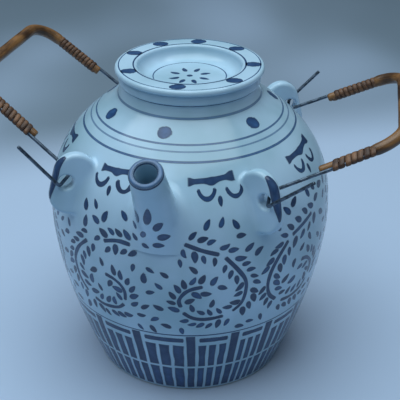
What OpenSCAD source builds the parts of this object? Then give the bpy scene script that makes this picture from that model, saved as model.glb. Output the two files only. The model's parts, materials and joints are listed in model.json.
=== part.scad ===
// Large blue-and-white porcelain teapot: barrel body with foot ring and collar neck, short straight spout
// over a pierced strainer, dished lid, four pierced ears, and two swinging bails of bent rattan that hang
// from steel hook wires bound on with split cane.
// Millimetres. +Z is up, the spout points to -Y, and the origin is the centre of the foot on the table.

/* [Body] */
// Radius of the belly at its widest
belly_r = 96; // [88:0.5:104]
// Height of the widest point of the belly
belly_z = 112.5; // [100:0.5:122]
// Radius of the body where it stands
foot_r = 66.2; // [60:0.2:72]
// Fullness of the curve below the belly
lower_fullness = 1.6; // [1.4:0.1:2]
// Fullness of the curve above the belly
upper_fullness = 2.7; // [2.3:0.1:3.1]
// Thickness of the porcelain wall
wall = 4.5; // [3.5:0.1:6]
// Width of the foot ring
foot_ring_w = 7; // [5:0.5:10]
// Depth of the recess inside the foot ring
foot_recess = 4; // [2:0.5:7]

/* [Neck] */
// Height of the top of the shoulder
shoulder_z = 196.2; // [188:0.2:206]
// Radius of the neck where it leaves the shoulder
neck_base_r = 48.2; // [47.2:0.2:52]
// Radius of the neck at its waist
neck_waist_r = 46; // [45.4:0.2:47]
// Height of the waist above the shoulder
waist_h = 8; // [6:0.5:10]
// Radius of the lip
lip_r = 47.2; // [46:0.2:50]
// Height of the lip above the shoulder
neck_h = 15.5; // [13:0.5:20]
// Radius of the hole through the neck
neck_bore_r = 42; // [39:0.2:43]

/* [Lid] */
// Radius of the lid
lid_r = 49.6; // [49:0.2:56]
// Thickness of the rim of the lid
lid_rim_t = 4.5; // [3.5:0.1:6]
// Radius of the flat floor of the dish
dish_floor_r = 27.5; // [22:0.5:29]
// Radius of the curve from the floor of the dish to its edge
dish_corner_r = 7; // [5:0.2:8]
// Depth of the dish below the top of the rim
dish_depth = 8.8; // [7.5:0.2:10]
// Thickness of the floor of the dish
dish_t = 4; // [3:0.1:5]
// Gap between the locating ring and the neck
lid_clearance = 0.6; // [0.3:0.1:1.5]
// Depth of the locating ring below the rim
lid_ring_h = 9.2; // [6:0.2:12]
// Thickness of the locating ring
lid_ring_t = 4; // [3:0.2:5]

/* [Spout] */
// Distance from the pot's axis to the centre of the spout's mouth
spout_reach = 118; // [112:0.5:124]
// Height of the centre of the spout's mouth
spout_z = 193; // [184:0.5:200]
// Slope of the spout above the horizontal, in degrees
spout_pitch = 58; // [54:0.5:62]
// Outer radius of the spout at its mouth
spout_mouth_r = 10.4; // [9.5:0.1:12]
// Outer radius of the spout where it meets the body
spout_root_r = 14.2; // [13:0.1:16]
// Radius of the hole in the mouth
spout_bore_r = 6.6; // [5.5:0.1:7.4]
// Length of the straight hole at the mouth
spout_bore_len = 14; // [10:0.5:20]
// Radius of the hollow of the spout at its root
spout_hollow_r = 9.8; // [9:0.1:10.4]
// Radius of each strainer hole
strainer_hole_r = 2; // [1.5:0.1:2.4]
// Distance from the middle strainer hole to the ring of six around it
strainer_pitch = 6; // [5.6:0.1:6.6]

/* [Ears] */
// Height of the holes, and of the line that each bail swings on
hinge_z = 159; // [155:0.5:163]
// How far the middle of each ear's hole stands out from the body at that height
ear_reach = 11.6; // [10.6:0.2:14.8]
// Direction of the front ears from the spout, in degrees
front_ear_az = 42; // [38:0.5:46]
// Direction of the back ears from the spout, in degrees
back_ear_az = 145; // [141:0.5:148]
// Direction that the flat of each front ear points in, from the spout, in degrees
front_ear_face = 62; // [58:0.5:68]
// Direction that the flat of each back ear points in, from the spout, in degrees
back_ear_face = 121; // [116:0.5:126]
// Radius of the rounding of each ear's outline
ear_r = 13.5; // [12:0.5:16]
// Distance from the hole to the outer edge of the ear
ear_lip = 8.5; // [7.7:0.2:9.5]
// Height of the straight stretch of the ear's outer edge
ear_straight = 15.5; // [11.5:0.5:18.5]
// How far above the hole the outer edge is straight
ear_crown = 6.5; // [4:0.5:8]
// Lean of each ear towards the pot's axis, from its foot to its crown, in degrees
ear_tilt = 15; // [8:0.5:18]
// Thickness of each ear
ear_t = 8; // [7:0.2:9]
// Radius of the rounding along the ear's edge
ear_edge_r = 2.8; // [1.5:0.1:3.2]
// Radius of the hole in each ear
ear_hole_r = 5; // [4.8:0.1:5.4]

/* [Hook wires] */
// How far the wire lies out from the middle of the ear's hole, near the side that it hangs on
wire_seat = 0.5; // [0:0.1:0.8]
// Diameter of the wire
wire_d = 2.3; // [1.8:0.1:2.6]
// Bend radius of the wire's centre line
wire_bend_r = 3; // [2.4:0.1:4]
// Distance from the middle of an ear to the wire's bound leg
wire_inner_gap = 12; // [11.4:0.2:13.2]
// Distance from the middle of an ear to the wire's free leg
wire_outer_gap = 8.4; // [8.2:0.2:12]
// Lean of the free leg away from the ear, in degrees
free_leg_splay = 13; // [10:0.5:20]
// Length of the free leg of each front wire
front_free_len = 37; // [25:0.5:42]
// Length of the free leg of each back wire
back_free_len = 30; // [22:0.5:40]
// Angle between the free leg and the loop on each front wire, in degrees
front_free_lift = 14; // [8:0.5:20]
// Angle between the free leg and the loop on each back wire, in degrees
back_free_lift = 20; // [8:0.5:24]

/* [Bails] */
// Distance from the hinge line to the middle of the grip
bail_reach = 88; // [84:0.5:96]
// Lean of each leg of the bail towards the other, in degrees
leg_lean = 3.5; // [2:0.1:5]
// Radius of the bend between the grip and each leg
grip_bend_r = 20; // [14:0.5:24]
// Diameter of the rattan along the grip
grip_d = 7.8; // [7:0.1:9]
// Diameter of the rattan where it is pared down under the cane
pared_d = 5.8; // [5:0.1:6.6]
// Height above the hinge line at which the rattan and its cane begin
binding_start = 33; // [28:0.5:38]
// Thickness of the cane that is wound on
cane_t = 0.75; // [0.5:0.05:1.2]
// Rise of the left bail above the horizontal as it stands, in degrees
left_rise = 38; // [30:1:50]
// Rise of the right bail above the horizontal as it stands, in degrees
right_rise = 25; // [20:1:50]

/* [Hidden] */
$fn = 96;

PORCELAIN = [0.78, 0.86, 0.93];
STEEL = [0.45, 0.48, 0.5];
RATTAN = [0.62, 0.42, 0.24];
CANE = [0.58, 0.34, 0.2];

steps = 14;            // stretches in each half of the body's curve
dish_steps = 8;        // stretches in the curve of the lid's dish
rim_steps = 10;        // stretches in the rounded edge of the lid
strainer_count = 6;
inside = 40;           // how far the spout runs on inwards before the body trims it
swell = 0.02;          // how much thicker a bend is than the straight stretches that run into it
run_in = 0.1;          // how far those straight stretches run into it

lip_z = shoulder_z + neck_h;
lid_top_z = lip_z + lid_rim_t;
lid_ring_r = neck_bore_r - lid_clearance;
floor_z = foot_recess + wall;
wire_r = wire_d / 2;
pared_r = pared_d / 2;

// ---- Body curve -------------------------------------------------------------------------------------

// Radius of the body at height z.
function outer_r(z) = z < belly_z
    ? belly_r - (belly_r - foot_r) * pow((belly_z - z) / belly_z, lower_fullness)
    : belly_r - (belly_r - neck_base_r) * pow((z - belly_z) / (shoulder_z - belly_z), upper_fullness);

// Change of that radius with height.
function outer_slope(z) = z < belly_z
    ? (belly_r - foot_r) * lower_fullness * pow((belly_z - z) / belly_z, lower_fullness - 1) / belly_z
    : -(belly_r - neck_base_r) * upper_fullness
        * pow((z - belly_z) / (shoulder_z - belly_z), upper_fullness - 1) / (shoulder_z - belly_z);

// The point that lies one wall inside the body's surface at height z, square to the surface.
function inner_point(z) = let (s = outer_slope(z), k = wall / sqrt(1 + s * s))
    [outer_r(z) - k, z + k * s];

body_heights = concat(
    [for (i = [0:steps - 1]) belly_z * i / steps],
    [for (i = [0:steps]) belly_z + (shoulder_z - belly_z) * i / steps]);
outer_curve = [for (z = body_heights) [outer_r(z), z]];
inner_curve = [for (z = body_heights) if (inner_point(z)[1] > floor_z + wall) inner_point(z)];
inner_floor_r = outer_r(floor_z) - 1.6 * wall;
throat_z = inner_point(shoulder_z)[1] + 0.8 * (inner_point(shoulder_z)[0] - neck_bore_r);

module pot_solid() {
    rotate_extrude() polygon(concat([[0, 0]], outer_curve, [
        [neck_waist_r + 0.8, shoulder_z + waist_h / 3],
        [neck_waist_r, shoulder_z + waist_h],
        [lip_r, shoulder_z + waist_h + 1.5],
        [lip_r, lip_z - 1],
        [lip_r - 1, lip_z],
        [0, lip_z]]));
}

module pot_hollow() {
    rotate_extrude() polygon(concat([[0, floor_z], [inner_floor_r, floor_z]], inner_curve, [
        [neck_bore_r, throat_z],
        [neck_bore_r, lip_z + 1],
        [0, lip_z + 1]]));
}

module pot_body() {
    color(PORCELAIN) difference() {
        pot_solid();
        pot_hollow();
        translate([0, 0, -1]) cylinder(h = foot_recess + 1, r = foot_r - foot_ring_w);
        at_spout_mouth() strainer_holes();
    }
}

// ---- Lid --------------------------------------------------------------------------------------------

dish_centre_z = lid_top_z - dish_depth + dish_corner_r;
dish_under_r = dish_corner_r + dish_t;
ring_inner_r = lid_ring_r - lid_ring_t;
under_end = asin((ring_inner_r - dish_floor_r) / dish_under_r);
rim_round_r = lid_rim_t / 2;

// A point on the rounded edge of the lid, at an angle above the horizontal.
function rim_point(a) = [lid_r - rim_round_r + rim_round_r * cos(a), lip_z + rim_round_r + rim_round_r * sin(a)];

// A point on a circle round the dish's corner, at an angle from straight down.
function dish_point(r, a) = [dish_floor_r + r * sin(a), dish_centre_z - r * cos(a)];

module lid() {
    color(PORCELAIN) rotate_extrude() polygon(concat(
            [[0, lid_top_z - dish_depth]],
            [for (i = [0:dish_steps]) dish_point(dish_corner_r, 90 * i / dish_steps)],
            [[dish_floor_r + dish_corner_r + 1.6, lid_top_z]],
            [for (i = [0:rim_steps]) rim_point(90 - 180 * i / rim_steps)],
            [[lid_ring_r, lip_z],
             [lid_ring_r, lip_z - lid_ring_h],
             [ring_inner_r, lip_z - lid_ring_h]],
            [for (i = [dish_steps:-1:0]) dish_point(dish_under_r, under_end * i / dish_steps)],
            [[0, dish_centre_z - dish_under_r]]));
}

// ---- Spout ------------------------------------------------------------------------------------------

// Length of the spout's axis from the mouth to the body's surface.
spout_len = (spout_reach - outer_r(hinge_z - wall * 2)) / cos(spout_pitch);
spout_lip_r = (spout_mouth_r - spout_bore_r) / 2;
spout_taper = (spout_root_r - spout_mouth_r) / spout_len;
spout_end = -spout_len - inside;

// The spout's own frame: its mouth's centre, with +Z out along the spout.
module at_spout_mouth() {
    translate([0, -spout_reach, spout_z]) rotate([90 - spout_pitch, 0, 0]) children();
}

module spout() {
    color(PORCELAIN) difference() {
        at_spout_mouth() difference() {
            rotate_extrude() {
                polygon([[0, spout_end], [spout_mouth_r - spout_taper * spout_end, spout_end],
                    [spout_mouth_r, -spout_lip_r], [0, -spout_lip_r]]);
                translate([spout_bore_r + spout_lip_r, -spout_lip_r]) circle(r = spout_lip_r);
            }
            translate([0, 0, -spout_bore_len - spout_lip_r]) cylinder(h = spout_bore_len + 2, r = spout_bore_r);
            rotate_extrude() polygon([[0, spout_end - 1], [spout_hollow_r, spout_end - 1],
                [spout_hollow_r, -spout_len], [spout_bore_r, -spout_bore_len - spout_lip_r],
                [0, -spout_bore_len - spout_lip_r]]);
        }
        pot_solid();
    }
}

module strainer_holes() {
    translate([0, 0, spout_end]) {
        cylinder(h = inside + spout_len / 2, r = strainer_hole_r);
        for (i = [0:strainer_count - 1]) rotate(i * 360 / strainer_count)
            translate([strainer_pitch, 0, 0]) cylinder(h = inside + spout_len / 2, r = strainer_hole_r);
    }
}

// ---- Ears -------------------------------------------------------------------------------------------

front_dir = [sin(front_ear_az), -cos(front_ear_az)];
back_dir = [sin(back_ear_az), -cos(back_ear_az)];
hole_r = outer_r(hinge_z) + ear_reach;           // from the pot's axis to the middle of each hole
front_hole = hole_r * front_dir;
back_hole = hole_r * back_dir;

// Half of an ear's cross-section, from its middle out to its rounded edge.
module ear_section() {
    flat_r = ear_r - ear_edge_r;
    half_t = ear_t / 2;
    translate([0, -half_t]) square([flat_r, ear_t]);
    translate([0, -half_t + ear_edge_r]) square([ear_r, ear_t - 2 * ear_edge_r]);
    for (y = [-half_t + ear_edge_r, half_t - ear_edge_r]) translate([flat_r, y]) circle(r = ear_edge_r);
}

// An ear that stands in the XZ plane with its hole on the Y axis and its outer edge towards +X.
module ear_blank() {
    difference() {
        rotate([0, -ear_tilt, 0]) translate([ear_lip - ear_r, 0, ear_crown - ear_straight]) {
            translate([0, 0, ear_straight]) rotate([90, 0, 0]) rotate_extrude(angle = 180) ear_section();
            rotate([90, 0, 0]) rotate([0, 0, 180]) rotate_extrude(angle = 180) ear_section();
            linear_extrude(ear_straight) {
                ear_section();
                mirror([1, 0]) ear_section();
            }
        }
        rotate([90, 0, 0]) cylinder(h = ear_t + 2, r = ear_hole_r, center = true);
    }
}

module ear(hole, face_az) {
    color(PORCELAIN) difference() {
        translate([hole[0], hole[1], hinge_z]) rotate([0, 0, face_az - 90]) ear_blank();
        pot_solid();
    }
}

module ear_front_right() { ear(front_hole, front_ear_face); }
module ear_back_right() { ear(back_hole, back_ear_face); }
module ear_front_left() { mirror([1, 0, 0]) ear_front_right(); }
module ear_back_left() { mirror([1, 0, 0]) ear_back_right(); }

// ---- Bails ------------------------------------------------------------------------------------------

front_pin = (hole_r + wire_seat) * front_dir;
back_pin = (hole_r + wire_seat) * back_dir;
hinge_mid = (front_pin + back_pin) / 2;
hinge_half = norm(back_pin - front_pin) / 2;
hinge_lean = atan2(front_pin[0] - back_pin[0], back_pin[1] - front_pin[1]);

leg_half_gap = hinge_half - wire_inner_gap;      // from the middle of the hinge line to a bound wire leg
core_offset = pared_r + wire_r;                  // from that wire to the middle of the rattan beside it
grip_top = (bail_reach + core_offset * sin(leg_lean)) / cos(leg_lean);
bend_start = grip_top - grip_bend_r * tan((90 - leg_lean) / 2);
grip_half_len = leg_half_gap - (core_offset + grip_bend_r) * cos(leg_lean) - bend_start * sin(leg_lean);

// A bail's frame: the middle of its hinge line, +Y along that line to the back, +Z up the loop.
module at_right_bail() {
    translate([hinge_mid[0], hinge_mid[1], hinge_z]) rotate([0, 0, hinge_lean])
        rotate([0, 90 - right_rise, 0]) children();
}

module at_left_bail() {
    mirror([1, 0, 0]) translate([hinge_mid[0], hinge_mid[1], hinge_z]) rotate([0, 0, hinge_lean])
        rotate([0, 90 - left_rise, 0]) children();
}

// The front leg's frame: where its wire meets the hinge line, +Z up the leg, +Y towards the other leg.
module at_front_leg() {
    translate([0, -leg_half_gap, 0]) rotate([-leg_lean, 0, 0]) children();
}

module at_back_leg() {
    mirror([0, 1, 0]) at_front_leg() children();
}

// A bend of a round bar in the YZ plane, from one angle to another, counted from +Y towards +Z.
module bend(bend_r, bar_r, from, to) {
    rotate([90, 0, 90]) rotate([0, 0, from])
        rotate_extrude(angle = to - from) translate([bend_r, 0]) circle(r = bar_r + swell);
}

// A straight stretch of round bar up +Z that runs into a bend at its lower end.
module stretch(length, bar_r) {
    translate([0, 0, -run_in]) cylinder(h = length + run_in, r = bar_r);
}

// A front hook wire: its bound leg, the stretch through the ear, and the free leg beyond the ear.
module hook_wire(free_len, free_lift) {
    inner_cut = wire_bend_r * tan((90 - leg_lean) / 2);
    outer_cut = wire_bend_r * tan((90 - free_leg_splay) / 2);
    outer_corner = hinge_half + wire_outer_gap;
    bound_top = bend_start - 1;
    through = outer_corner - outer_cut - leg_half_gap - inner_cut;
    color(STEEL) {
        at_front_leg() translate([0, 0, inner_cut]) stretch(bound_top - inner_cut, wire_r);
        translate([0, -leg_half_gap - inner_cut, wire_bend_r]) bend(wire_bend_r, wire_r, -90, -leg_lean);
        translate([0, -leg_half_gap - inner_cut, 0]) rotate([90, 0, 0]) stretch(through + run_in, wire_r);
        rotate([0, -free_lift, 0]) {
            translate([0, outer_cut - outer_corner, wire_bend_r])
                bend(wire_bend_r, wire_r, 180 + free_leg_splay, 270);
            translate([0, -outer_corner, 0]) rotate([free_leg_splay, 0, 0]) translate([0, 0, outer_cut])
                stretch(free_len - outer_cut, wire_r);
        }
    }
}

module pared_leg() {
    translate([0, core_offset, binding_start]) cylinder(h = bend_start - binding_start + run_in, r = pared_r);
    translate([0, core_offset + grip_bend_r, bend_start]) bend(grip_bend_r, grip_d / 2, 90 + leg_lean, 180);
}

module rattan_grip() {
    color(RATTAN) {
        at_front_leg() pared_leg();
        at_back_leg() pared_leg();
        translate([0, 0, bail_reach]) rotate([90, 0, 0])
            cylinder(h = 2 * (grip_half_len + run_in), r = grip_d / 2, center = true);
    }
}

// The cane round one leg: a sleeve that holds the pared rattan and the wire side by side, touching.
module cane_binding() {
    color(CANE) translate([0, 0, binding_start]) linear_extrude(bend_start - binding_start) difference() {
        union() {
            circle(r = wire_r + cane_t);
            translate([0, core_offset]) circle(r = pared_r + cane_t);
            translate([-wire_r - cane_t, 0]) square([wire_d + 2 * cane_t, core_offset]);
        }
        circle(r = wire_r);
        translate([0, core_offset]) circle(r = pared_r);
        translate([-wire_r / 2, 0]) square([wire_r, core_offset]);
    }
}

module front_hook() { hook_wire(front_free_len, front_free_lift); }
module back_hook() { mirror([0, 1, 0]) hook_wire(back_free_len, back_free_lift); }

pot_body();
spout();
ear_front_left();
ear_front_right();
ear_back_left();
ear_back_right();
lid();
at_left_bail() front_hook();  // hook_wire_left_front
at_left_bail() back_hook();  // hook_wire_left_back
at_right_bail() front_hook();  // hook_wire_right_front
at_right_bail() back_hook();  // hook_wire_right_back
at_left_bail() rattan_grip();  // rattan_grip_left
at_right_bail() rattan_grip();  // rattan_grip_right
at_left_bail() at_front_leg() cane_binding();  // cane_binding_left_front
at_left_bail() at_back_leg() cane_binding();  // cane_binding_left_back
at_right_bail() at_front_leg() cane_binding();  // cane_binding_right_front
at_right_bail() at_back_leg() cane_binding();  // cane_binding_right_back
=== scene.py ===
"""Dresses a large blue-and-white porcelain teapot: glazed clay with brushed cobalt ornament, steel hook wires,
and two grips of bent rattan bound with split cane. Lengths are metres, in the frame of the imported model."""

import json
import math
from types import SimpleNamespace

import bpy
import numpy as np
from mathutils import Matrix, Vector


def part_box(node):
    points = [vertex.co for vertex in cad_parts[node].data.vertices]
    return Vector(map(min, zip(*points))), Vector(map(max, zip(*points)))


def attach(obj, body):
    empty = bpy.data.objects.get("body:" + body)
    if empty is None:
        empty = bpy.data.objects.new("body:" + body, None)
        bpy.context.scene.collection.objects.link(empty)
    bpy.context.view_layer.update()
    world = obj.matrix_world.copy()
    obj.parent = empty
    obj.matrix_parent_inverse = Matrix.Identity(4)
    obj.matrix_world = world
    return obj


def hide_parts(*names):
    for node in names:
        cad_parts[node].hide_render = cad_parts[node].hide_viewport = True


bl_info = {
    "name": "Blue and white bail teapot",
    "version": (1, 0, 0),
    "blender": (4, 5, 0),
    "location": "3D View > Sidebar > Teapot",
    "description": "Builds the finished look of a porcelain teapot with two rattan bails",
    "category": "Object",
}

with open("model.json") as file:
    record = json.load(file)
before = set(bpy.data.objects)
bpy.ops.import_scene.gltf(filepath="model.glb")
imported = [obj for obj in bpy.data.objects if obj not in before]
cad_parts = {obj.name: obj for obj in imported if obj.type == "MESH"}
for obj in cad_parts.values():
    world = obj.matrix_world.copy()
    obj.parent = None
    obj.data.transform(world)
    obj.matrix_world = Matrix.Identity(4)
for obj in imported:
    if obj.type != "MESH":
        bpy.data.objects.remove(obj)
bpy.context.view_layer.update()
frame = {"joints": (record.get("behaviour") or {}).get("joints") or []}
JOINTS = {joint["name"]: joint for joint in frame["joints"]}

MM = 0.001
SIDES = ("left", "right")
ENDS = ("front", "back")


def length(name, description, millimetres):
    """A size that a user can change, given in millimetres."""
    return bpy.props.FloatProperty(name=name, description=description, default=millimetres * MM,
                                   unit="LENGTH", precision=5)


def angle(name, description, degrees):
    """An angle that a user can change, given in degrees."""
    return bpy.props.FloatProperty(name=name, description=description, default=math.radians(degrees),
                                   subtype="ANGLE")


def number(name, description, value):
    """A plain number that a user can change."""
    return bpy.props.FloatProperty(name=name, description=description, default=value)


def colour(name, description, *rgb):
    """A colour that a user can change, given as it looks on a screen, from 0 to 255."""
    return bpy.props.FloatVectorProperty(name=name, description=description, subtype="COLOR", size=3,
                                         min=0, max=1, default=[linear(part / 255) for part in rgb])


def linear(part):
    """A screen's colour part as light."""
    return part / 12.92 if part < 0.04045 else ((part + 0.055) / 1.055) ** 2.4


class PotSizes(bpy.types.PropertyGroup):
    """Sizes of the thrown body and its neck."""
    belly_r: length("Belly radius", "Radius of the body at its widest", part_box("pot_body")[1].x / MM)
    belly_z: length("Belly height", "Height of the widest point", 112.5)
    foot_r: length("Foot radius", "Radius of the body where it stands", 66.2)
    lower_fullness: number("Lower fullness", "Power of the curve below the belly", 1.6)
    upper_fullness: number("Upper fullness", "Power of the curve above the belly", 2.7)
    shoulder_z: length("Shoulder height", "Height of the top of the shoulder", 196.2)
    neck_base_r: length("Neck base radius", "Radius of the neck where it leaves the shoulder", 48.2)
    waist_r: length("Neck waist radius", "Radius of the neck at its waist", 46)
    waist_h: length("Neck waist height", "Height of the waist above the shoulder", 8)
    lip_r: length("Lip radius", "Radius of the lip", 47.2)
    lip_z: length("Lip height", "Height of the lip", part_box("pot_body")[1].z / MM)
    bore_r: length("Neck bore", "Radius of the hole through the neck", 42)
    wall: length("Wall", "Thickness of the wall", 4.5)
    foot_ring_w: length("Foot ring width", "Width of the ring that it stands on", 7)
    foot_recess: length("Foot recess", "Depth of the recess inside the foot ring", 4)


class LidSizes(bpy.types.PropertyGroup):
    """Sizes of the dished lid."""
    radius: length("Radius", "Radius of the lid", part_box("lid")[1].x / MM)
    top_z: length("Top", "Height of the top of the rim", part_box("lid")[1].z / MM)
    rim_t: length("Rim thickness", "Thickness of the rim", 4.5)
    floor_r: length("Floor radius", "Radius of the flat floor of the dish", 27.5)
    corner_r: length("Corner radius", "Curve from the floor of the dish to its edge", 7)
    depth: length("Dish depth", "Depth of the dish", 8.8)
    floor_t: length("Floor thickness", "Thickness of the floor of the dish", 4)
    ring_r: length("Ring radius", "Outer radius of the locating ring", 41.4)
    ring_t: length("Ring thickness", "Thickness of the locating ring", 4)
    ring_h: length("Ring depth", "Depth of the locating ring below the rim", 9.2)


class SpoutSizes(bpy.types.PropertyGroup):
    """Sizes of the spout."""
    reach: length("Reach", "Distance from the pot's axis to the middle of the mouth", 118)
    mouth_z: length("Mouth height", "Height of the middle of the mouth", 193)
    pitch: angle("Pitch", "Slope of the spout above the horizontal", 58)
    mouth_r: length("Mouth radius", "Outer radius at the mouth", 10.4)
    root_r: length("Root radius", "Outer radius where it meets the body", 14.2)
    bore_r: length("Bore", "Radius of the hole in the mouth", 6.6)
    bore_len: length("Bore length", "Length of the straight hole", 14)
    hollow_r: length("Hollow", "Radius of the hollow at the root", 9.8)
    run: length("Run", "Length of the axis from the mouth to the body", 51.8)
    flare: length("Flare", "How far the clay is blended where the spout meets the body", 9)
    strainer_r: length("Strainer hole", "Radius of each strainer hole", 2)
    strainer_pitch: length("Strainer pitch", "From the middle hole to the six around it", 6)


class EarSizes(bpy.types.PropertyGroup):
    """Sizes of the four pierced ears."""
    reach: length("Reach", "How far the hole stands out from the body", 11.6)
    front_az: angle("Front azimuth", "Direction of the front ears from the spout", 42)
    back_az: angle("Back azimuth", "Direction of the back ears from the spout", 145)
    front_face: angle("Front facing", "Direction that the front ears point in", 62)
    back_face: angle("Back facing", "Direction that the back ears point in", 121)
    outline_r: length("Outline radius", "Rounding of the outline", 13.5)
    lip: length("Lip", "From the hole to the outer edge", 8.5)
    straight: length("Straight", "Height of the straight stretch of the outer edge", 15.5)
    crown: length("Crown", "How far above the hole the outer edge is straight", 6.5)
    tilt: angle("Tilt", "Lean towards the pot's axis, from foot to crown", 15)
    thickness: length("Thickness", "Thickness of the ear", 8)
    edge_r: length("Edge radius", "Rounding along the edge", 2.8)
    hole_r: length("Hole", "Radius of the hole", 5)
    blend: length("Blend", "How far the clay is blended where the ear meets the body", 3.5)


class BailSizes(bpy.types.PropertyGroup):
    """Sizes of the hook wires, grips and cane."""
    wire_seat: length("Wire seat", "How far the wire lies out from the middle of the hole", 0.5)
    wire_d: length("Wire", "Diameter of the wire", 2.3)
    wire_bend_r: length("Wire bend", "Bend radius of the wire", 3)
    inner_gap: length("Inner gap", "From the middle of an ear to the bound leg", 12)
    outer_gap: length("Outer gap", "From the middle of an ear to the free leg", 8.4)
    splay: angle("Splay", "Lean of the free leg away from the ear", 13)
    front_free: length("Front free leg", "Length of the free leg of each front wire", 37)
    back_free: length("Back free leg", "Length of the free leg of each back wire", 30)
    front_lift: angle("Front lift", "Angle between free leg and loop, front", 14)
    back_lift: angle("Back lift", "Angle between free leg and loop, back", 20)
    reach: length("Reach", "From the hinge line to the middle of the grip", 88)
    lean: angle("Lean", "Lean of each leg towards the other", 3.5)
    bend_r: length("Grip bend", "Radius of the bend between grip and leg", 20)
    grip_d: length("Grip", "Diameter of the rattan along the grip", 7.8)
    pared_d: length("Pared grip", "Diameter of the rattan under the cane", 5.8)
    binding_start: length("Binding start", "Height at which the rattan begins", 33)
    cane_t: length("Cane thickness", "Thickness of the cane", 0.75)
    left_rise: angle("Left rise", "Rise of the left bail above the horizontal", 38)
    right_rise: angle("Right rise", "Rise of the right bail above the horizontal", 25)


class Colours(bpy.types.PropertyGroup):
    """Colours of the finishes."""
    glaze: colour("Glaze", "Pale bluish white of the glazed porcelain", 182, 212, 234)
    glaze_pooled: colour("Pooled glaze", "Bluer glaze where it runs thick", 156, 190, 208)
    clay: colour("Bare clay", "Unglazed clay of the foot ring", 176, 172, 162)
    cobalt: colour("Cobalt", "Full brush of cobalt", 0, 26, 72)
    cobalt_thin: colour("Thin cobalt", "Watery cobalt", 28, 88, 152)
    steel: colour("Steel", "Dulled steel wire", 104, 118, 134)
    steel_dark: colour("Dark steel", "Stains on the wire", 42, 54, 66)
    rattan: colour("Rattan", "Smooth rattan", 138, 98, 58)
    rattan_dark: colour("Dark rattan", "Dark streaks and handled places", 62, 40, 24)
    cane: colour("Cane", "Split cane", 138, 98, 68)
    # Dark cane also colours the painted shade in the grooves between the turns of the strip.
    cane_dark: colour("Dark cane", "Dark streaks in the cane", 56, 34, 22)
    floor: colour("Floor", "Floor near the pot", 184, 204, 230)
    # Painted shade: the backdrop is the floor's cloth, coloured darker behind the pot.
    backdrop_shade: colour("Backdrop", "Floor and backdrop behind the pot", 118, 136, 152)
    # Painted highlight: the folds in the backdrop are coloured lighter.
    fold_highlight: colour("Backdrop folds", "Lighter folds behind the pot", 160, 180, 204)


# ---- Meshes -------------------------------------------------------------------------------------------


def add_mesh(name, vertices, faces, body, material, normals=None, values=None, replaces=()):
    """Makes a piece of the object from its vertices and faces, and lets it ride on a body."""
    mesh = bpy.data.meshes.new(name)
    mesh.from_pydata(np.asarray(vertices).tolist(), [], [tuple(int(i) for i in face) for face in faces])
    mesh.update()
    mesh.polygons.foreach_set("use_smooth", [True] * len(mesh.polygons))
    for key, value in (values or {}).items():
        value = np.asarray(value, np.float32)
        kind = "FLOAT" if value.ndim == 1 else "FLOAT_VECTOR"
        attribute = mesh.attributes.new(key, kind, "POINT")
        attribute.data.foreach_set("value" if value.ndim == 1 else "vector", value.ravel())
    if normals is not None:
        mesh.normals_split_custom_set_from_vertices(np.asarray(normals).tolist())
    mesh.materials.append(material)
    piece = bpy.data.objects.new(name, mesh)
    bpy.context.scene.collection.objects.link(piece)
    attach(piece, body)
    if replaces:
        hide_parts(*replaces)
    return piece


def grid_faces(rows, columns, first=0, wrap_rows=False, wrap_columns=False):
    """Quads between neighbours of a grid of vertices, numbered row by row."""
    row = np.arange(rows if wrap_rows else rows - 1)
    column = np.arange(columns if wrap_columns else columns - 1)
    r, c = np.meshgrid(row, column, indexing="ij")
    r2, c2 = (r + 1) % rows, (c + 1) % columns
    quads = np.stack([r * columns + c, r * columns + c2, r2 * columns + c2, r2 * columns + c], -1)
    return (quads.reshape(-1, 4) + first).tolist()


def revolve(profile, columns):
    """Vertices and faces of a closed outline of (radius, height) points turned about Z. The outline starts
    and ends on the axis and runs up the outside, anticlockwise."""
    profile = np.asarray(profile)
    turned = profile[1:-1]
    around = np.arange(columns) * 2 * np.pi / columns
    ring = np.stack([np.cos(around), np.sin(around)], -1)
    vertices = np.concatenate([turned[:, :1, None] * ring[None], np.broadcast_to(
        turned[:, 1:, None], (len(turned), columns, 1))], -1).reshape(-1, 3)
    poles = [(0, 0, profile[0][1]), (0, 0, profile[-1][1])]
    return np.vstack([vertices, poles]), capped(len(turned), columns)


def arc(centre, radius, start, stop, count):
    """Points of an arc in an outline, between two angles in degrees above the outward direction."""
    turn = np.radians(np.linspace(start, stop, count))
    return np.stack([centre[0] + radius * np.cos(turn), centre[1] + radius * np.sin(turn)], -1)


def along(points):
    """Distance along a line of points, from its start to each of them."""
    steps = np.linalg.norm(np.diff(points, axis=0), axis=1)
    return np.concatenate([[0], np.cumsum(steps)])


def resample(points, spacing):
    """The same line with evenly spaced points."""
    run = along(points)
    count = max(2, int(round(run[-1] / spacing)) + 1)
    places = np.linspace(0, run[-1], count)
    return np.stack([np.interp(places, run, points[:, i]) for i in range(points.shape[1])], -1)


def unit(vectors):
    """The same directions, one long."""
    return vectors / np.linalg.norm(vectors, axis=-1, keepdims=True)


def capped(rows, columns):
    """Faces of a tube of rings of vertices, closed by a fan to each of two more vertices at its ends."""
    faces = grid_faces(rows, columns, wrap_columns=True)
    first, last, tail = rows * columns, rows * columns + 1, (rows - 1) * columns
    for c in range(columns):
        following = (c + 1) % columns
        faces.append((first, following, c))
        faces.append((last, tail + c, tail + following))
    return faces


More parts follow.
